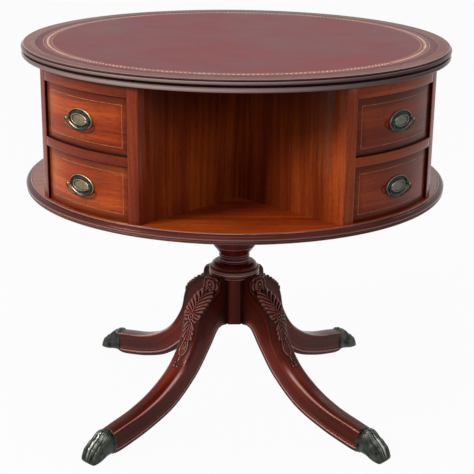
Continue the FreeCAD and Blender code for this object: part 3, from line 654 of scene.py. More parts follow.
def fieldGrid(bm, across, along, place, grain=None):
    # a grid whose every point is put in place by its two shares; place gives the point and its relief
    uv = layerOf(bm.loops.layers.uv, "grain")
    relief = layerOf(bm.verts.layers.float, "relief")
    made = bmesh.ops.create_grid(bm, x_segments=across, y_segments=along, size=0.5)["verts"]
    shares = {vert: (vert.co.x + 0.5, vert.co.y + 0.5) for vert in made}
    if grain:
        for face in {face for vert in made for face in vert.link_faces}:
            for loop in face.loops:
                loop[uv].uv = grain(*shares[loop.vert])
    for vert, (u, t) in shares.items():
        vert.co, vert[relief] = place(u, t)
    return made


def softenRelief(bm, verts, gain, rounds=2, top=1.0, deepen=1.0):
    # relief of a carved surface: how far a point stands above its neighbours, or below them, times deepen
    layer = layerOf(bm.verts.layers.float, "relief")
    heights = {vert: vert[layer] for vert in verts}
    for _ in range(rounds):
        blurred = {}
        for vert in verts:
            others = (edge.other_vert(vert) for edge in vert.link_edges)
            near = [heights[other] for other in others if other in heights]
            blurred[vert] = (sum(near) + heights[vert]) / (len(near) + 1)
        heights = blurred
    for vert in verts:
        value = (vert[layer] - heights[vert]) * gain
        vert[layer] = clamped(value if value > 0 else value * deepen, -1.0, top)


# Top board and shelf: turned mouldings round flat boards
topProfile = [
    (0, 737), (402.5, 737), (404.6, 737.3), (406.4, 738.0, 1.1), (408.7, 742.6), (408.5, 744.0, 0.6),
    (406.6, 746.6), (405.6, 746.9), (404.4, 747.2), (404.4, 750.0), (405.0, 750.4), (407.0, 750.7, 2.6),
    (407.0, 756.5), (406.1, 756.8), (405.2, 757.1), (405.2, 757.8), (406.0, 758.1, 0.3), (405.6, 759.4),
    (404.8, 760.0), (382.3, 760.0), (382.0, 759.4), (382.0, 758.8), (0, 758.8),
]
shelfProfile = [
    (9.55, 480), (407.0, 480), (407.8, 480.4, 1.2), (408.4, 485.4), (407.6, 485.8), (407.5, 487.0),
    (409.6, 487.2), (410.0, 487.8), (410.0, 490.4, 1.7), (402.3, 495.7), (401.9, 496.0),
    (401.4, 496.1, 0.8), (398.9, 496.5), (398.3, 497.5), (9.55, 497.5), (9.55, 480),
]
# lowest and highest level of the mouldings' broad faces with painted highlight, or painted shade below zero,
# and its strength
litAndShadedBands = [(738.6, 744.6, 0.85), (751.6, 756.4, 0.7), (756.9, 757.9, -0.16), (758.4, 759.6, 0.3)]
roundSetup = {
    "steps": 240,
    "mouldingFrom": 403.0,
    "rimFrom": 759.0,
    # the side where the mouldings' painted highlight is brightest, and the share of it all round
    "litSide": (0.47, -0.88),
    "leastLight": 0.34,
}


def makeRound(name, node, profile, flats, finishes, rim, setup):
    # flats is the reach of the flat boards, rim the finish of the flat ring round the leather
    bm = bmesh.new()
    lathe(bm, profile, setup["steps"])
    tidy(bm)
    relief = layerOf(bm.verts.layers.float, "relief")
    # painted highlight on the broad faces, brightest on the lit side, and painted shade on the dark step
    for vert in bm.verts:
        for low, high, paintedLight in litAndShadedBands:
            if low < vert.co.z < high and vert.co.xy.length > setup["mouldingFrom"]:
                facing = max(0.0, vert.co.xy.normalized().dot(Vector(setup["litSide"])))
                vert[relief] = paintedLight * between(setup["leastLight"], 1.0, facing ** 2) if paintedLight > 0 else paintedLight
    for face in bm.faces:
        middle = face.calc_center_median()
        if abs(face.normal.z) > 0.99:
            face.material_index = 1 if middle.xy.length < flats else rim if middle.z > setup["rimFrom"] else 0
    addPiece(toMesh(bm, name), name, node, "drum", finishes)


topFinishes = ["edgeMahogany", "shelfMahogany", "rimMahogany"]
makeRound("topBoard", "top_board", topProfile, 381.0, topFinishes, 2, roundSetup)
makeRound("roundShelf", "shelf", shelfProfile, 398.0, ["lowEdgeMahogany", "shelfMahogany"], 0, roundSetup)

# Pedestal: turned column over an eight-sided leg block
columnProfile = [
    (0, 283), (50.0, 283), (51.0, 283.9), (51.2, 285.4), (51.2, 288.9), (50.5, 289.5), (50.5, 290.4),
    (51.2, 291.0), (51.2, 293.2), (50.7, 293.7), (50.7, 294.3), (51.2, 294.8), (51.2, 296.4), (50.5, 297.6),
    (49.2, 298.3), (47.6, 298.4), (46.7, 298.7), (46.5, 299.5, 3.7), (34.6, 309.6), (33.3, 310.4),
    (32.3, 312.0, -0.5), (31.2, 314.2), (31.2, 315.4), (30.4, 316.2), (29.2, 316.4), (28.8, 317.2),
    (28.8, 318.8), (29.6, 319.4), (29.9, 320.0, 0.6), (30.9, 323.6), (30.9, 326.4), (30.4, 327.2),
    (41.6, 342.7), (42.4, 343.6), (42.6, 344.6, -3.4), (53.6, 384.0), (54.2, 386.0, 5.2), (30.4, 431.6),
    (30.2, 432.4, -1.2), (45.4, 447.6), (46.0, 448.4), (46.0, 458.7), (0, 458.7),
]
blockSetup = {
    "half": 40.5,
    "facet": 24.2,
    "low": 186.0,
    "high": 283.4,
    "ease": 1.2,
}


def makeColumn(setup):
    bm = bmesh.new()
    lathe(bm, columnProfile, 96)
    block = bmesh.ops.create_circle(bm, cap_ends=True, radius=1.0, segments=8)["verts"]
    half, facet, low = setup["half"], setup["facet"], setup["low"]
    corners = [(half, facet), (facet, half), (-facet, half), (-half, facet), (-half, -facet), (-facet, -half),
               (facet, -half), (half, -facet)]
    block.sort(key=lambda vert: math.atan2(vert.co.y, vert.co.x) % (2 * math.pi))
    for vert, (x, y) in zip(block, corners):
        vert.co = (x, y, low)
    cap = [face for face in bm.faces if len(face.verts) == 8][0]
    lifted = bmesh.ops.extrude_face_region(bm, geom=[cap])["geom"]
    tall = setup["high"] - low
    upper = [item for item in lifted if isinstance(item, bmesh.types.BMVert)]
    bmesh.ops.translate(bm, vec=(0, 0, tall), verts=upper)
    edges = [edge for edge in bm.edges if abs(edge.verts[0].co.z - edge.verts[1].co.z) > tall - 1
             or all(abs(vert.co.z - low) < 0.01 for vert in edge.verts)]
    bmesh.ops.bevel(bm, geom=edges, offset=setup["ease"], segments=2, affect="EDGES", profile=0.5,
                    material=-1)
    tidy(bm)
    addPiece(toMesh(bm, "column", 32.0), "pedestalColumn", "pedestal_column", "base", ["pedestalMahogany"])


makeColumn(blockSetup)
print("top, shelf and column turned")

# Sabre legs: paired points of the upper and the lower edge, reach and height, from the ear to the ankle
legSetup = {
    "width": 44.0,
    "ankleWidth": 33.0,
    "taperFrom": 118.0,
    "taperTo": 348.0,
    "corner": 4.6,
    "ankleCorner": 1.5,
    "crown": 2.2,
    "lowerInset": 0.10,
    # a leg at least this high has its edges in full size, and the band of the bead is so high
    "fullHeight": 32.0,
    "beadBand": 13.6,
    # reach and height of the lower edge between which the bead rises out of the leg block
    "beadReach": (43.0, 52.0),
    "beadLevel": (200.0, 192.0),
    "carvedTo": 222.0,
    "carvedStep": 1.0,
    "plainStep": 6.0,
    "carvedAbove": 13.4,
    # painted highlight on the arris's corner rows, growing towards the ankle
    "arrisGlint": 0.4,
    # painted highlight along the arris: its run from the middle line and its half width, at the knee and at
    # the ankle
    "arrisRun": (19.6, 15.8),
    "arrisHalf": (6.0, 1.3),
    "arrisSheen": (0.98, 0.78),
    "sheenFrom": (190.0, 230.0),
    "thinFrom": (215.0, 365.0),
    "beadSheen": (0.8, 0.5),
    # how much, and where it starts and is full: the carving's fade by the surface's lean, painted shade by
    # the
    #  share of the depth, then by the run along the leg
    "edgeFade": (0.75, 0.5, 1.4),
    "sidePaintedShade": (-0.2, 0.3, 1.0),
    "anklePaintedShade": (-0.3, 220.0, 330.0),
    "shoulderPaintedShade": (-0.24, 190.0, 100.0),
    # darker in the carving's ground so far along the leg and out, and painted shade so near the lower edge
    "groundDarkening": (-0.22, 205.0, 30.0),
    "underPaintedShade": (-0.4, 6.9),
    # the bead along the lower edge: inset, level above the edge and painted light, highlight on the bead and
    # shade in its grooves
    "lowerEdge": [
        (-0.1, 13.2, -0.5), (-1.4, 12.4, -1.4), (-1.4, 11.7, -1.4), (-0.1, 11.0, 1.2), (0.6, 9.2, 2.8),
        (-0.1, 7.4, 1.4), (-1.3, 6.7, -1.4), (-1.4, 6.0, -0.8), (-1.4, 3.0, -0.2), (-2.2, 0.9, -0.2),
        (-3.8, 0.0, 0.0),
    ],
}
legPairs = [
    ((51.3, 286.4), (51.3, 284.0)), ((55.0, 288.4), (48.5, 282.5)), ((61.5, 286.5), (44.0, 282.5)),
    ((66.4, 280.5), (40.9, 281.0)), ((66.8, 273.0), (40.9, 270.0)), ((69.4, 264.8), (40.9, 255.0)),
    ((77.4, 260.6), (40.9, 232.0)), ((89.8, 252.8), (40.9, 208.0)), ((103.4, 242.0), (41.2, 188.0)),
    ((115.0, 230.6), (53.4, 185.2)), ((125.0, 209.0), (65.8, 178.2)), ((136.0, 170.0), (88.4, 145.2)),
    ((168.0, 124.0), (126.4, 97.0)), ((218.0, 88.0), (184.8, 50.2)), ((272.0, 66.0), (252.4, 23.4)),
    ((327.0, 54.0), (317.8, 7.4)), ((346.5, 50.0), (340.5, 4.6)),
]


def curvePoint(knots, index, share):
    # a smooth run between neighbouring knots
    a, b, c, d = (knots[clamped(index + step, 0, len(knots) - 1)] for step in (-1, 0, 1, 2))
    square, cube = (a * 2 - b * 5 + c * 4 - d) * share ** 2, (b * 3 - a - c * 3 + d) * share ** 3
    return (b * 2 + (c - a) * share + square + cube) * 0.5


def legCurves():
    # upper and lower points against the distance run along the upper edge
    uppers = [Vector(pair[0]) for pair in legPairs]
    lowers = [Vector(pair[1]) for pair in legPairs]
    rows = [(curvePoint(uppers, index, step / 24), curvePoint(lowers, index, step / 24))
            for index in range(len(legPairs) - 1) for step in range(24)]
    rows.append((uppers[-1], lowers[-1]))
    runs = [0.0]
    for before, here in zip(rows, rows[1:]):
        runs.append(runs[-1] + (here[0] - before[0]).length)
    return runs, rows


# Carving: strokes on the leg's unrolled surface, s down the leg and q out from its middle line, as
# start, bend and end points, then width and height at both ends. Each is mirrored across the middle line.
carving = {
    "flutes": [
        ((60, 1), (50, 5), (43, 13), 1.3, 3.4, 2.0, 3.4), ((70, 1), (60, 8), (52, 18), 1.4, 3.8, 2.0, 3.8),
        ((80, 1), (70, 10), (61.5, 21), 1.4, 4.0, 2.0, 4.0),
        ((88, 1), (79, 11), (71, 22), 1.4, 4.0, 2.0, 4.0),
        ((94, 1.5), (87, 12), (80, 22), 1.4, 4.0, 2.0, 4.0),
        ((98, 2), (94, 12), (89, 21), 1.3, 3.8, 1.8, 3.6), ((44, 0), (70, 0), (99, 0), 1.4, 2.0, 2.4, 2.8),
    ],
    "scroll": [
        ((97, 1), (99, 9), (100, 18), 2.4, 4.2, 2.6, 3.6),
        ((104, 8), (107, 12), (105, 18), 1.8, 2.6, 2.2, 2.4),
        ((110, 5), (114, 9), (113, 14), 1.6, 2.4, 2.2, 2.4),
    ],
    "middleLeaf": [
        ((115, 1.5), (119, 8), (128, 11.5), 1.4, 3.2, 2.0, 3.4),
        ((122, 1.5), (129, 8), (138, 11.5), 1.4, 3.2, 2.0, 3.4),
        ((130, 1), (139, 8), (149, 10.5), 1.4, 3.4, 2.0, 3.4),
        ((138, 1), (146, 4), (153, 5.0), 1.3, 2.8, 2.0, 3.0),
        ((112, 0), (130, 0), (152, 0), 1.4, 1.8, 2.6, 2.6),
    ],
    "lowerLeaf": [
        ((151, 3), (160, 7), (172, 8.5), 1.3, 2.2, 2.2, 2.8),
        ((172, 8.5), (180, 8), (186, 3), 2.2, 2.4, 2.8, 3.0),
        ((158, 1), (166, 3), (175, 4.5), 1.2, 2.0, 1.8, 2.4),
        ((154, -1), (166, -1), (184, 0), 1.3, 1.8, 2.2, 2.4),
        ((168, 0), (176, 2), (181, 2.6), 1.2, 2.0, 1.8, 2.4),
    ],
    "rosette": [
        ((14, 4), (22, 13), (34, 9), 1.5, 2.2, 2.4, 3.0), ((34, 9), (38, 4), (36, 0), 2.0, 1.6, 2.8, 2.2),
        ((38, 3), (43, 7), (41, 13), 1.4, 2.4, 2.0, 2.8), ((12, 1), (10, 8), (14, 15), 1.4, 2.2, 2.0, 2.6),
        ((20, 16.5), (26, 19.5), (33, 16.5), 1.5, 2.0, 2.2, 2.6),
    ],
    "dart": [((190, 0), (197, 0), (203, 0), 2.4, 1.0, 2.4, 1.6)],
}
carvedRings = [(25, 0, 8.0, 1.8, 2.8), (106, 0, 6.0, 1.7, 3.0)]  # s, q, radius, half width, height
carvedBerries = [(25, 0, 4.0, 3.8), (106, 0, 3.0, 3.6), (210, 4.2, 3.0, 2.8), (203.5, 5.4, 1.8, 1.8)]


def strokeSegments():
    found = []
    for strokes in carving.values():
        for start, bend, end, wide0, wide1, high0, high1 in strokes:
            points = []
            for step in range(11):
                t = step / 10
                at = Vector(start) * (1 - t) ** 2 + Vector(bend) * 2 * t * (1 - t) + Vector(end) * t ** 2
                points.append((at, between(wide0, wide1, t), between(high0, high1, t)))
            reach = Vector((1, 1)) * max(wide0, wide1)
            low, high = (Vector([end(p[0][axis] for p in points) for axis in (0, 1)]) for end in (min, max))
            found.append((low - reach, high + reach, points))
    return found


carvedStrokes = strokeSegments()


def domed(height, away):
    return height * math.sqrt(1 - away * away) if away < 1.0 else 0.0


def carvedHeight(s, q, cutting=0.85):
    # how far the carving stands out at this place of the leg's surface
    q = abs(q)
    best = 0.0
    here = Vector((s, q))
    for low, high, points in carvedStrokes:
        if not (low.x <= s <= high.x and low.y <= q <= high.y):
            continue
        for (a, wideA, highA), (b, wideB, highB) in zip(points, points[1:]):
            along = b - a
            share = clamped((here - a).dot(along) / along.length_squared)
            away = (here - (a + along * share)).length / between(wideA, wideB, share)
            best = max(best, domed(between(highA, highB, share), away))
    for ringS, ringQ, radius, half, height in carvedRings:
        best = max(best, domed(height, abs(math.hypot(s - ringS, q - ringQ) - radius) / half))
    for dotS, dotQ, radius, height in carvedBerries:
        best = max(best, domed(height, math.hypot(s - dotS, q - dotQ) / radius))
    return best * cutting


def legSection(height, half, taper, beading, setup):
    # half section from the top's middle to the bottom's middle: across, depth, lean of the normal, run,
    # painted light
    small = min(1.0, height / setup["fullHeight"])
    corner = between(setup["corner"], setup["ankleCorner"], taper) * small
    crown = setup["crown"] * small
    foot = half * (1 - setup["lowerInset"])
    points = []
    flat = half - corner
    for step in range(17):
        across = flat * step / 16
        points.append((across, -crown * (1 - (across / half) ** 2), math.radians(8) * step / 16, across, 0.0))
    edgeLift = crown * (1 - (flat / half) ** 2)
    for step in range(1, 7):
        lean = math.pi / 2 * step / 6
        depth = corner - corner * math.cos(lean) - edgeLift * (1 - step / 6)
        points.append((flat + corner * math.sin(lean), depth, lean, flat + corner * lean,
                       setup["arrisGlint"] * taper if 2 < step < 6 else 0.0))
    sideEnd = height - setup["beadBand"] * small
    fine = min(14.0, (sideEnd - corner) * 0.7)
    run = flat + corner * math.pi / 2
    depths = [corner + fine * step / 12 for step in range(1, 13)]
    depths += [corner + fine + (sideEnd - corner - fine) * step / 6 for step in range(1, 7)]
    points += [(half, depth, math.pi / 2, run + depth - corner, 0.0) for depth in depths]
    for inset, level, paintedLight in setup["lowerEdge"]:
        across = half + inset * small * beading
        points.append((across, height - level * small, math.pi / 2, run + height - level, paintedLight * beading))
    lastInset = setup["lowerEdge"][-1][0]
    points.append(((half + lastInset) / 2, height, math.pi / 2, run + height + half / 2, 0.0))
    points.append((0.0, height, math.pi / 2, run + height + half, 0.0))
    shaped = []
    for across, depth, lean, run, paintedLight in points:
        shaped.append((across * between(1.0, foot / half, clamped(depth / height)), depth, lean, run, paintedLight))
    return shaped


def makeLegMesh(setup):
    runs, rows = legCurves()
    stations = []
    at = 0.0
    while at < runs[-1]:
        stations.append(at)
        at += setup["carvedStep"] if at < setup["carvedTo"] else setup["plainStep"]
    stations.append(runs[-1])
    sections = []
    for at in stations:
        index = max(1, min(len(runs) - 1, bisect.bisect_left(runs, at)))
        share = (at - runs[index - 1]) / (runs[index] - runs[index - 1])
        upper = rows[index - 1][0].lerp(rows[index][0], share)
        lower = rows[index - 1][1].lerp(rows[index][1], share)
        way = (rows[index][0] - rows[index - 1][0]).normalized()
        normal = Vector((-way.y, way.x))
        if normal.dot(upper - lower) < 0:
            normal = -normal
        taper = ramp(upper.x, setup["taperFrom"], setup["taperTo"])
        half = between(setup["width"], setup["ankleWidth"], taper) / 2
        beading = ramp(lower.x, *setup["beadReach"]) * ramp(lower.y, *setup["beadLevel"])
        section = legSection((upper - lower).length, half, taper, beading, setup)
        sections.append((at, upper, lower, normal, section))
    halfCount = len(sections[0][4])
    around = 2 * (halfCount - 1)

    def pick(u, t):
        column = round(u * around)
        row = sections[round(t * (len(sections) - 1))]
        sign = 1 if column < halfCount else -1
        return row, sign, row[4][column if sign > 0 else around - column]

    shadeAndGround, sheens = [], []

    def rising(key, value):
        amount, start, full = setup[key]
        return amount * ramp(value, start, full)

    def place(u, t):
        (at, upper, lower, normal, _), sign, (across, depth, lean, run, paintedLight) = pick(u, t)
        down = (lower - upper).normalized()
        point = upper + down * depth
        tall = (lower - upper).length
        height = carvedHeight(at, run) if depth < tall - setup["carvedAbove"] else 0.0
        height *= 1 - rising("edgeFade", lean)
        out = normal * math.cos(lean) * height
        side = across + math.sin(lean) * height
        onSide = lean > 1.5
        # painted shade: darker towards the ankle, down the sides, by the shoulder and along the underside
        low = rising("anklePaintedShade", at)
        if onSide:
            low += rising("sidePaintedShade", depth / tall) + rising("shoulderPaintedShade", at)
        if onSide and tall - depth < setup["underPaintedShade"][1]:
            low += setup["underPaintedShade"][0]
        ground, groundTo, groundRun = setup["groundDarkening"]
        shadeAndGround.append(low + (ground if at < groundTo and height < 0.6 and run < groundRun else 0.0))
        # painted highlights along the arris and on the bead
        thin = ramp(at, *setup["thinFrom"])
        arris = (run - between(*setup["arrisRun"], thin)) / between(*setup["arrisHalf"], thin ** 0.6)
        sheen = between(*setup["arrisSheen"], thin) * ramp(at, *setup["sheenFrom"]) * math.exp(-arris * arris)
        crest, shoulder = setup["beadSheen"]
        sheens.append(max(sheen, crest if paintedLight > 2.5 else shoulder if paintedLight > 1.15 and onSide else 0.0))
        return Vector((point.x + out.x, sign * side, point.y + out.y)), height + paintedLight

    def grain(u, t):
        row, sign, section = pick(u, t)
        return (row[0] * mm, sign * section[3] * mm)

    bm = bmesh.new()
    made = fieldGrid(bm, around, len(sections) - 1, place, grain)
    # relief of the carving: painted shade in the hollows, a painted highlight on the crests
    softenRelief(bm, made, 1.25, 5, 0.55, 1.5)
    layer = layerOf(bm.verts.layers.float, "relief")
    # painted shade is laid into the relief, then the painted highlights over it
    for vert, darkHere, sheen in zip(made, shadeAndGround, sheens):
        vert[layer] += darkHere * max(0.0, 1 - max(0.0, vert[layer]) * 2)
        if sheen > 0.05:
            vert[layer] = max(sheen, vert[layer])
    closeEnds(bm)
    return toMesh(bm, "sabreLeg", 60.0)


legMesh = makeLegMesh(legSetup)
copyRound(legMesh, "sabreLeg", "leg", legTurns, "base", ["legMahogany"])
print("legs carved, faces each:", len(legMesh.polygons))

# Lion paw: rings along the foot as reach, half width, top, bottom, the toes' depth and the hair's depth
pawRings = [
    (340.5, 17.2, 50.5, 4.8, 0.0, 0.0), (341.6, 18.0, 52.6, 4.0, 0.0, 0.0),
    (345.6, 18.2, 53.2, 3.8, 0.0, 0.0), (346.8, 17.2, 51.4, 4.8, 0.2, 0.2),
    (350.0, 17.6, 52.6, 5.2, 0.6, 1.2), (355.0, 18.4, 53.6, 5.4, 1.2, 1.8),
    (360.5, 19.2, 52.8, 5.0, 2.0, 1.8), (366.0, 20.0, 49.2, 4.2, 2.8, 1.4),
    (369.5, 20.6, 45.2, 3.6, 3.4, 0.8), (373.5, 21.2, 41.2, 2.6, 4.0, 0.2),
    (379.0, 21.6, 37.0, 1.2, 4.6, 0.0), (384.5, 21.9, 32.6, 0.3, 4.8, 0.0),
    (389.5, 21.8, 27.6, 0.0, 4.8, 0.0), (393.5, 21.2, 22.4, 0.0, 4.4, 0.0),
    (396.6, 20.2, 17.0, 0.3, 3.6, 0.0), (398.7, 18.6, 11.8, 1.0, 2.6, 0.0),
    (399.5, 16.0, 7.4, 2.2, 1.2, 0.0),
]
pawSetup = {
    "toes": 4,
    "furthest": 399.9,
    # how square the rings are across and upright, the lower the squarer
    "square": (0.6, 0.62),
    # strands of hair to each mm across, their slant and where they part
    "hair": (0.42, 0.16, 346.0),
    # the toes swell forward from this reach on, in full after this length, by this share
    "swell": (378.0, 22.0, 0.8),
    # reach, half width and height of the two rows of knuckles
    "knuckles": [(380.0, 3.4, 1.6), (391.0, 2.6, 1.2)],
    "around": 160,
    "along": 110,
}


def makePawMesh(setup):
    rings = [Vector(ring[:4]) for ring in pawRings]
    span = len(rings) - 1
    squareAcross, squareUp = setup["square"]
    strands, slant, partFrom = setup["hair"]
    swellFrom, swellLong, swellShare = setup["swell"]

    def place(u, t):
        index = min(span - 1, int(t * span))
        share = t * span - index
        reach, half, top, bottom = curvePoint(rings, index, share)
        depth, hairDepth = (between(pawRings[index][key], pawRings[index + 1][key], share) for key in (4, 5))
        turn = 2 * math.pi * u
        x, y = math.cos(turn), math.sin(turn)
        across = math.copysign(abs(x) ** squareAcross, x) * half
        middle, tall = (top + bottom) / 2, (top - bottom) / 2
        level = middle + math.copysign(abs(y) ** squareUp, y) * tall
        upward = max(0.0, y) ** 0.5
        lane = (clamped(across / half, -0.999, 0.999) * 0.5 + 0.5) * setup["toes"]
        lobe = math.sqrt(max(0.0, 1 - (2 * (lane % 1.0) - 1) ** 2))
        ridge = (lobe - 0.8) * depth * upward
        # the hair parts from the middle and sweeps out to both sides
        strand = abs(across) * strands - (reach - partFrom) * slant
        hair = (abs(math.sin(strand * math.pi)) - 0.5) * hairDepth * upward
        knuckle = sum(math.exp(-((reach - at) / wide) ** 2) * high for at, wide, high in setup["knuckles"])
        knuckle *= upward * lobe
        level += ridge + hair + knuckle
        reach += (ridge + knuckle) * max(0.0, (reach - swellFrom) / swellLong) * swellShare
        return Vector((min(reach, setup["furthest"]), across, max(0.0, level))), ridge + hair + knuckle

    bm = bmesh.new()
    made = fieldGrid(bm, setup["around"], setup["along"], place)
    # the toes' and hair's ridges get painted highlight with rubbed brass, the grooves painted shade with
    # patina
    softenRelief(bm, made, 0.8)
    closeEnds(bm)
    return toMesh(bm, "lionPaw", 60.0)


copyRound(makePawMesh(pawSetup), "lionPaw", "paw", legTurns, "base", ["pawBrass"])
print("paws cast")


# Boards of an arm: boxes with eased edges, the outer end bowed to the drum
def board(bm, low, high, grainAxis, ease, bow=0.0, cuts=0):
    uv = layerOf(bm.loops.layers.uv, "grain")
    low, high = Vector(low), Vector(high)
    made = bmesh.ops.create_cube(bm, size=1.0)["verts"]
    size = high - low
    for vert in made:
        vert.co = Vector((low[axis] + (vert.co[axis] + 0.5) * size[axis] for axis in range(3)))
    edges = list({edge for vert in made for edge in vert.link_edges})
    result = bmesh.ops.bevel(bm, geom=edges, offset=ease, segments=2, affect="EDGES", profile=0.5,
                             material=-1)
    faces = {face for vert in result["verts"] for face in vert.link_faces}
    verts = {vert for face in faces for vert in face.verts}
    geometry = list(verts) + list({edge for vert in verts for edge in vert.link_edges}) + list(faces)
    for cut in range(1, cuts):
        x = low.x + size.x * cut / cuts
        out = bmesh.ops.bisect_plane(bm, geom=geometry, plane_co=(x, 0, 0), plane_no=(1, 0, 0), dist=1e-5)
        geometry = out["geom"]
    faces = {item for item in geometry if isinstance(item, bmesh.types.BMFace)}
    first, second = (axis for axis in range(3) if axis != grainAxis)
    for loop in (loop for face in faces for loop in face.loops):
        co = loop.vert.co
        # each board's figure starts elsewhere
        start = Vector((low.z * 0.003, low.x * 0.0017))
        loop[uv].uv = start + Vector((co[grainAxis], co[first] + co[second] * 0.7)) * mm
    if bow:
        middle = (low.y + high.y) / 2
        for vert in {vert for face in faces for vert in face.verts}:
            if vert.co.y < middle:
                vert.co.y += bow - math.sqrt(bow * bow - vert.co.x ** 2)
    return faces


caseSetup = {
    "low": 497.5,
    "high": 737.0,
    "openingHalf": 108.5,
    "wall": 20.0,
    "caseRadius": 397.0,
    "frameBack": 348.0,
    "midRail": (597.99, 614.59),
    "topRail": 716.6,
}
# relief for painted shade in the gaps and recesses round the drawers
paintedGapShade = -0.9


def makeFrameMesh(setup):
    inner, outer, radius = setup["openingHalf"], setup["openingHalf"] + setup["wall"], setup["caseRadius"]
    low, high = setup["low"], setup["high"]
    bm = bmesh.new()
    # stiles with upright grain, then the top rail and the middle rail: ends, levels, grain, ease and cuts
    parts = [(-outer, -inner, low, high, 2, 0.5, 4), (inner, outer, low, high, 2, 0.5, 4),
             (-inner, inner, setup["topRail"], high, 0, 0.6, 24),
             (-inner, inner, *setup["midRail"], 0, 0.8, 24)]
    for left, right, bottom, top, grain, ease, cuts in parts:
        board(bm, (left, -radius, bottom), (right, -setup["frameBack"], top), grain, ease, radius, cuts)
    # painted shade: the walls round both drawer openings are darkened as a recess's shade
    relief = layerOf(bm.verts.layers.float, "relief")
    for vert in bm.verts:
        beside = abs(abs(vert.co.x) - inner) < 0.1
        atRail = any(abs(vert.co.z - at) < 0.1 for at in (*setup["midRail"], setup["topRail"]))
        vert[relief] = paintedGapShade if beside or (atRail and abs(vert.co.x) < inner) else 0.0
    bmesh.ops.recalc_face_normals(bm, faces=bm.faces)
    return toMesh(bm, "faceFrame", 35.0)


frameFinishes = [("paintedLightFrameMahogany", "frameMahogany")]
copyRound(makeFrameMesh(caseSetup), "faceFrame", "face_frame", armTurns, "drum", frameFinishes)

# Drawer fronts: bowed boards with a string inlay let in round the edge
drawerSetup = {
    "half": 107.9,
    "radius": 392.0,
    "back": 358.0,
    "upper": (614.89, 715.8),
    "lower": (497.8, 597.19),
    "lineInset": 13.0,
    "lineWide": 1.1,
    # the front darkens towards its edges over this width: partly the veneer's toning, partly painted shade
    "shade": 0.32,
    "shadeWide": 26.0,
    "cuts": 28,
}


def makeDrawerFront(setup, level):
    low, high = setup[level]
    half, radius = setup["half"], setup["radius"]
    bm = bmesh.new()
    board(bm, (-half, -radius, low), (half, -setup["back"], high), 0, 0.9, 0.0, setup["cuts"])
    inset, wide, soft = setup["lineInset"], setup["lineWide"], setup["shadeWide"]

    def fromEdge(co):
        return min(half - abs(co.x), co.z - low, high - co.z)

    for normal, start, end in (((1, 0, 0), -half, half), ((0, 0, 1), low, high)):
        for at in (inset, inset + wide, soft):
            for place in (start + at, end - at):
                geometry = list(bm.verts) + list(bm.edges) + list(bm.faces)
                bmesh.ops.bisect_plane(bm, geom=geometry, plane_co=Vector(normal) * place, plane_no=normal,
                                       dist=1e-5)
    for face in bm.faces:
        middle = face.calc_center_median()
        if abs(middle.y + radius) < 0.01 and inset < fromEdge(middle) < inset + wide:
            face.material_index = 1
    relief = layerOf(bm.verts.layers.float, "relief")
    for vert in bm.verts:
        edge = fromEdge(vert.co)
        inFront = vert.co.y < -(radius + setup["back"]) / 2
        # painted shade: the front's edges and the parts behind it are dark as the gap's shade
        vert[relief] = paintedGapShade if edge < 0.5 or not inFront else -setup["shade"] * max(0.0, 1 - edge / soft)
        if inFront:
            vert.co.y += radius - math.sqrt(radius * radius - vert.co.x ** 2)
    bmesh.ops.recalc_face_normals(bm, faces=bm.faces)
    return toMesh(bm, f"drawerFront_{level}", 35.0)


frontFinishes = [("shadedMahogany", "drawerMahogany"), "inlayLine"]
for level in levels:
    copyRound(makeDrawerFront(drawerSetup, level), "drawerFront", "drawer_face", armTurns, "drawer_{}",
              frontFinishes, level=level)
print("frames and drawer fronts ready")

# Pulls: stamped oval plates with posts, and swinging bails
pullSetup = {
    "seat": 392.0,
    "postHalf": 26.0,
    "pinLine": 400.8,
    "headRadius": 3.4,
    "drawerInside": 358.0,
    # the medallion in the middle, which is rubbed to a warm tone
    "medallion": (17.0, 8.1, 0.22),
    # the bail: half length, pin's drop, side's radius and sweep, rod at the pins and how much it thickens
    "bailHalf": 31.4,
    "bailCorner": 1.8,
    "bailSide": 9.8,
    "bailSweep": 62.0,
    "rod": (1.25, 0.6),
}
# half length, half height and proud of the drawer, from the back edge in to the middle
plateRings = [
    (31.6, 18.6, -1.5), (32.0, 19.0, 0.4), (32.0, 19.0, 1.3), (31.5, 18.5, 2.1), (30.6, 17.7, 2.4),
    (29.7, 16.9, 2.0), (29.0, 16.3, 1.2), (27.6, 15.2, 0.7), (25.0, 13.2, 0.6), (22.8, 11.7, 0.9),
    (21.6, 11.0, 2.0), (20.8, 10.5, 3.8), (19.8, 9.9, 4.8), (18.7, 9.3, 4.9), (17.9, 8.7, 4.4),
    (17.2, 8.2, 3.5), (16.2, 7.6, 3.4), (10.0, 4.8, 3.9), (0.4, 0.2, 4.2),
]


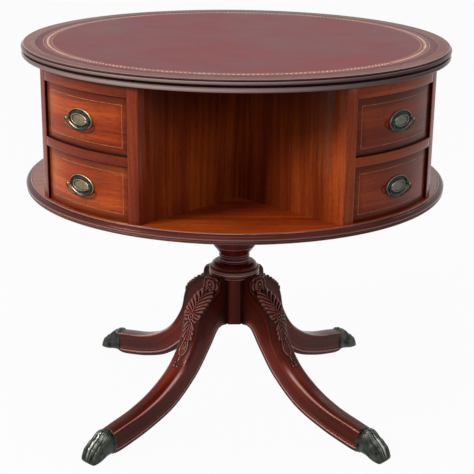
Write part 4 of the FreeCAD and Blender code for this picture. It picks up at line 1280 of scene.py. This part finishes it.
def makePlateMesh(setup):
    count = len(plateRings) - 1
    bm = bmesh.new()

    def place(u, t):
        longHalf, tallHalf, proud = plateRings[round(t * count)]
        turn = 2 * math.pi * u
        x, z = longHalf * math.cos(turn), tallHalf * math.sin(turn)
        seat = setup["seat"] if proud > 0.5 else math.sqrt(setup["seat"] ** 2 - x * x)
        return Vector((x, -(seat + proud), z)), proud

    made = fieldGrid(bm, 96, count, place)
    # the plate's ridges get painted highlight with rubbing, its dish painted shade with patina
    softenRelief(bm, made, 1.3)
    relief = layerOf(bm.verts.layers.float, "relief")
    longHalf, tallHalf, warmth = setup["medallion"]
    for vert in made:
        if math.hypot(vert.co.x / longHalf, vert.co.z / tallHalf) < 1.0:
            vert[relief] = max(warmth, vert[relief])
    closeEnds(bm)
    shank = setup["pinLine"] - setup["drawerInside"]
    head = setup["headRadius"]
    outline = [(0.0, shank - 1.0), (2.0, shank - 1.0), (2.4, shank - 4.0), (2.4, 7.9), (4.3, 7.6), (4.5, 6.8),
               (4.1, 6.0), (2.7, 5.6), (2.4, 5.0), (2.4, 3.1)]
    for degrees in range(38, 176, 8):
        outline.append((math.sin(math.radians(degrees)) * head, math.cos(math.radians(degrees)) * head))
    outline.append((0.0, -head))
    for sign in (-1, 1):
        before = set(bm.verts)
        lathe(bm, outline, 28)
        nut = bmesh.ops.create_cone(bm, cap_ends=True, segments=6, radius1=5.0, radius2=5.0,
                                    depth=4.0)["verts"]
        bmesh.ops.translate(bm, vec=(0, 0, shank - 2.0), verts=nut)
        fresh = [vert for vert in bm.verts if vert not in before]
        # the shank's axis turns from Z to point into the drawer
        bmesh.ops.rotate(bm, verts=fresh, cent=(0, 0, 0), matrix=Matrix.Rotation(-math.pi / 2, 3, "X"))
        bmesh.ops.translate(bm, vec=(sign * setup["postHalf"], -setup["pinLine"], 0), verts=fresh)
        for vert in fresh:
            vert[relief] = 0.2 if vert.co.y < -setup["pinLine"] + 3 else -0.1
    tidy(bm)
    return toMesh(bm, "pullPlate", 40.0)


def makeBailMesh(setup):
    # one rod bent from pin to pin, thicker in the middle of its sweep
    half, corner, side = setup["bailHalf"], setup["bailCorner"], setup["bailSide"]
    sweep = math.radians(setup["bailSweep"])
    knots = [Vector(knot) for knot in ((24.0, 0.0), (28.0, 0.0), (30.2, 0.0), (31.2, -0.6), (half, -corner))]
    for share in (0.33, 0.66, 1.0):
        angle = sweep * share
        knots.append(Vector((half - side + side * math.cos(angle), -corner - side * math.sin(angle))))
    bottomArc = knots[-1].x / math.cos(sweep)
    level = knots[-1].y + bottomArc * math.sin(sweep)
    for share in (0.75, 0.5, 0.25, 0.0):
        lean = (math.pi / 2 - sweep) * share
        knots.append(Vector((bottomArc * math.sin(lean), level - bottomArc * math.cos(lean))))
    knots += [Vector((-knot.x, knot.y)) for knot in reversed(knots[:-1])]
    count = len(knots) - 1
    bm = bmesh.new()

    def place(u, t):
        index = min(count - 1, int(t * count))
        share = t * count - index
        here = curvePoint(knots, index, share)
        before, after = (curvePoint(knots, index, clamped(share + step)) for step in (-0.02, 0.02))
        way = (after - before).normalized()
        thin, more = setup["rod"]
        radius = thin + more * ramp(1 - abs(2 * t - 1), 0.12, 0.72) ** 0.8
        turn = 2 * math.pi * u
        spoke = Vector((way.y, -way.x)) * radius * math.cos(turn)
        point = Vector((here.x + spoke.x, -setup["pinLine"] + radius * math.sin(turn), here.y + spoke.y))
        # painted light: the rod is a little lighter on one side and darker on the other
        return point, 0.12 * math.cos(turn)

    fieldGrid(bm, 20, 110, place)
    closeEnds(bm)
    return toMesh(bm, "bail", 40.0)


plateMesh = makePlateMesh(pullSetup)
bailMesh = makeBailMesh(pullSetup)
for level in levels:
    for mesh, name, node, body in ((plateMesh, "pullPlate", "pull_plate", "drawer_{}"),
                                   (bailMesh, "bailHandle", "bail", "handle_{}")):
        copyRound(mesh, name, node, armTurns, body, [("shadedBrass", "antiqueBrass")], level,
                  sum(drawerSetup[level]) / 2)
print("pulls and bails ready")

# Solids that keep their own shape and only get a finish
carried = {"leather_inset": "toolingLeather", "swivel_plate": "steel", "core_box": "secondaryWood",
           "dust_boards": "secondaryWood", "bearer_block": "secondaryWood", "pivot_spindle": "steel",
           "spindle_nut": "steel", "leg_plate": "blackIron"}
for arm in armTurns:
    carried[f"side_panels_{arm}"] = "bayMahogany"
    for level in levels:
        carried[f"drawer_box_{arm}_{level}"] = "secondaryWood"
for node, finish in carried.items():
    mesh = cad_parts[node].data
    mesh.materials.clear()
    mesh.materials.append(materials[finish])
print("finishes on", len(carried), "carried solids")
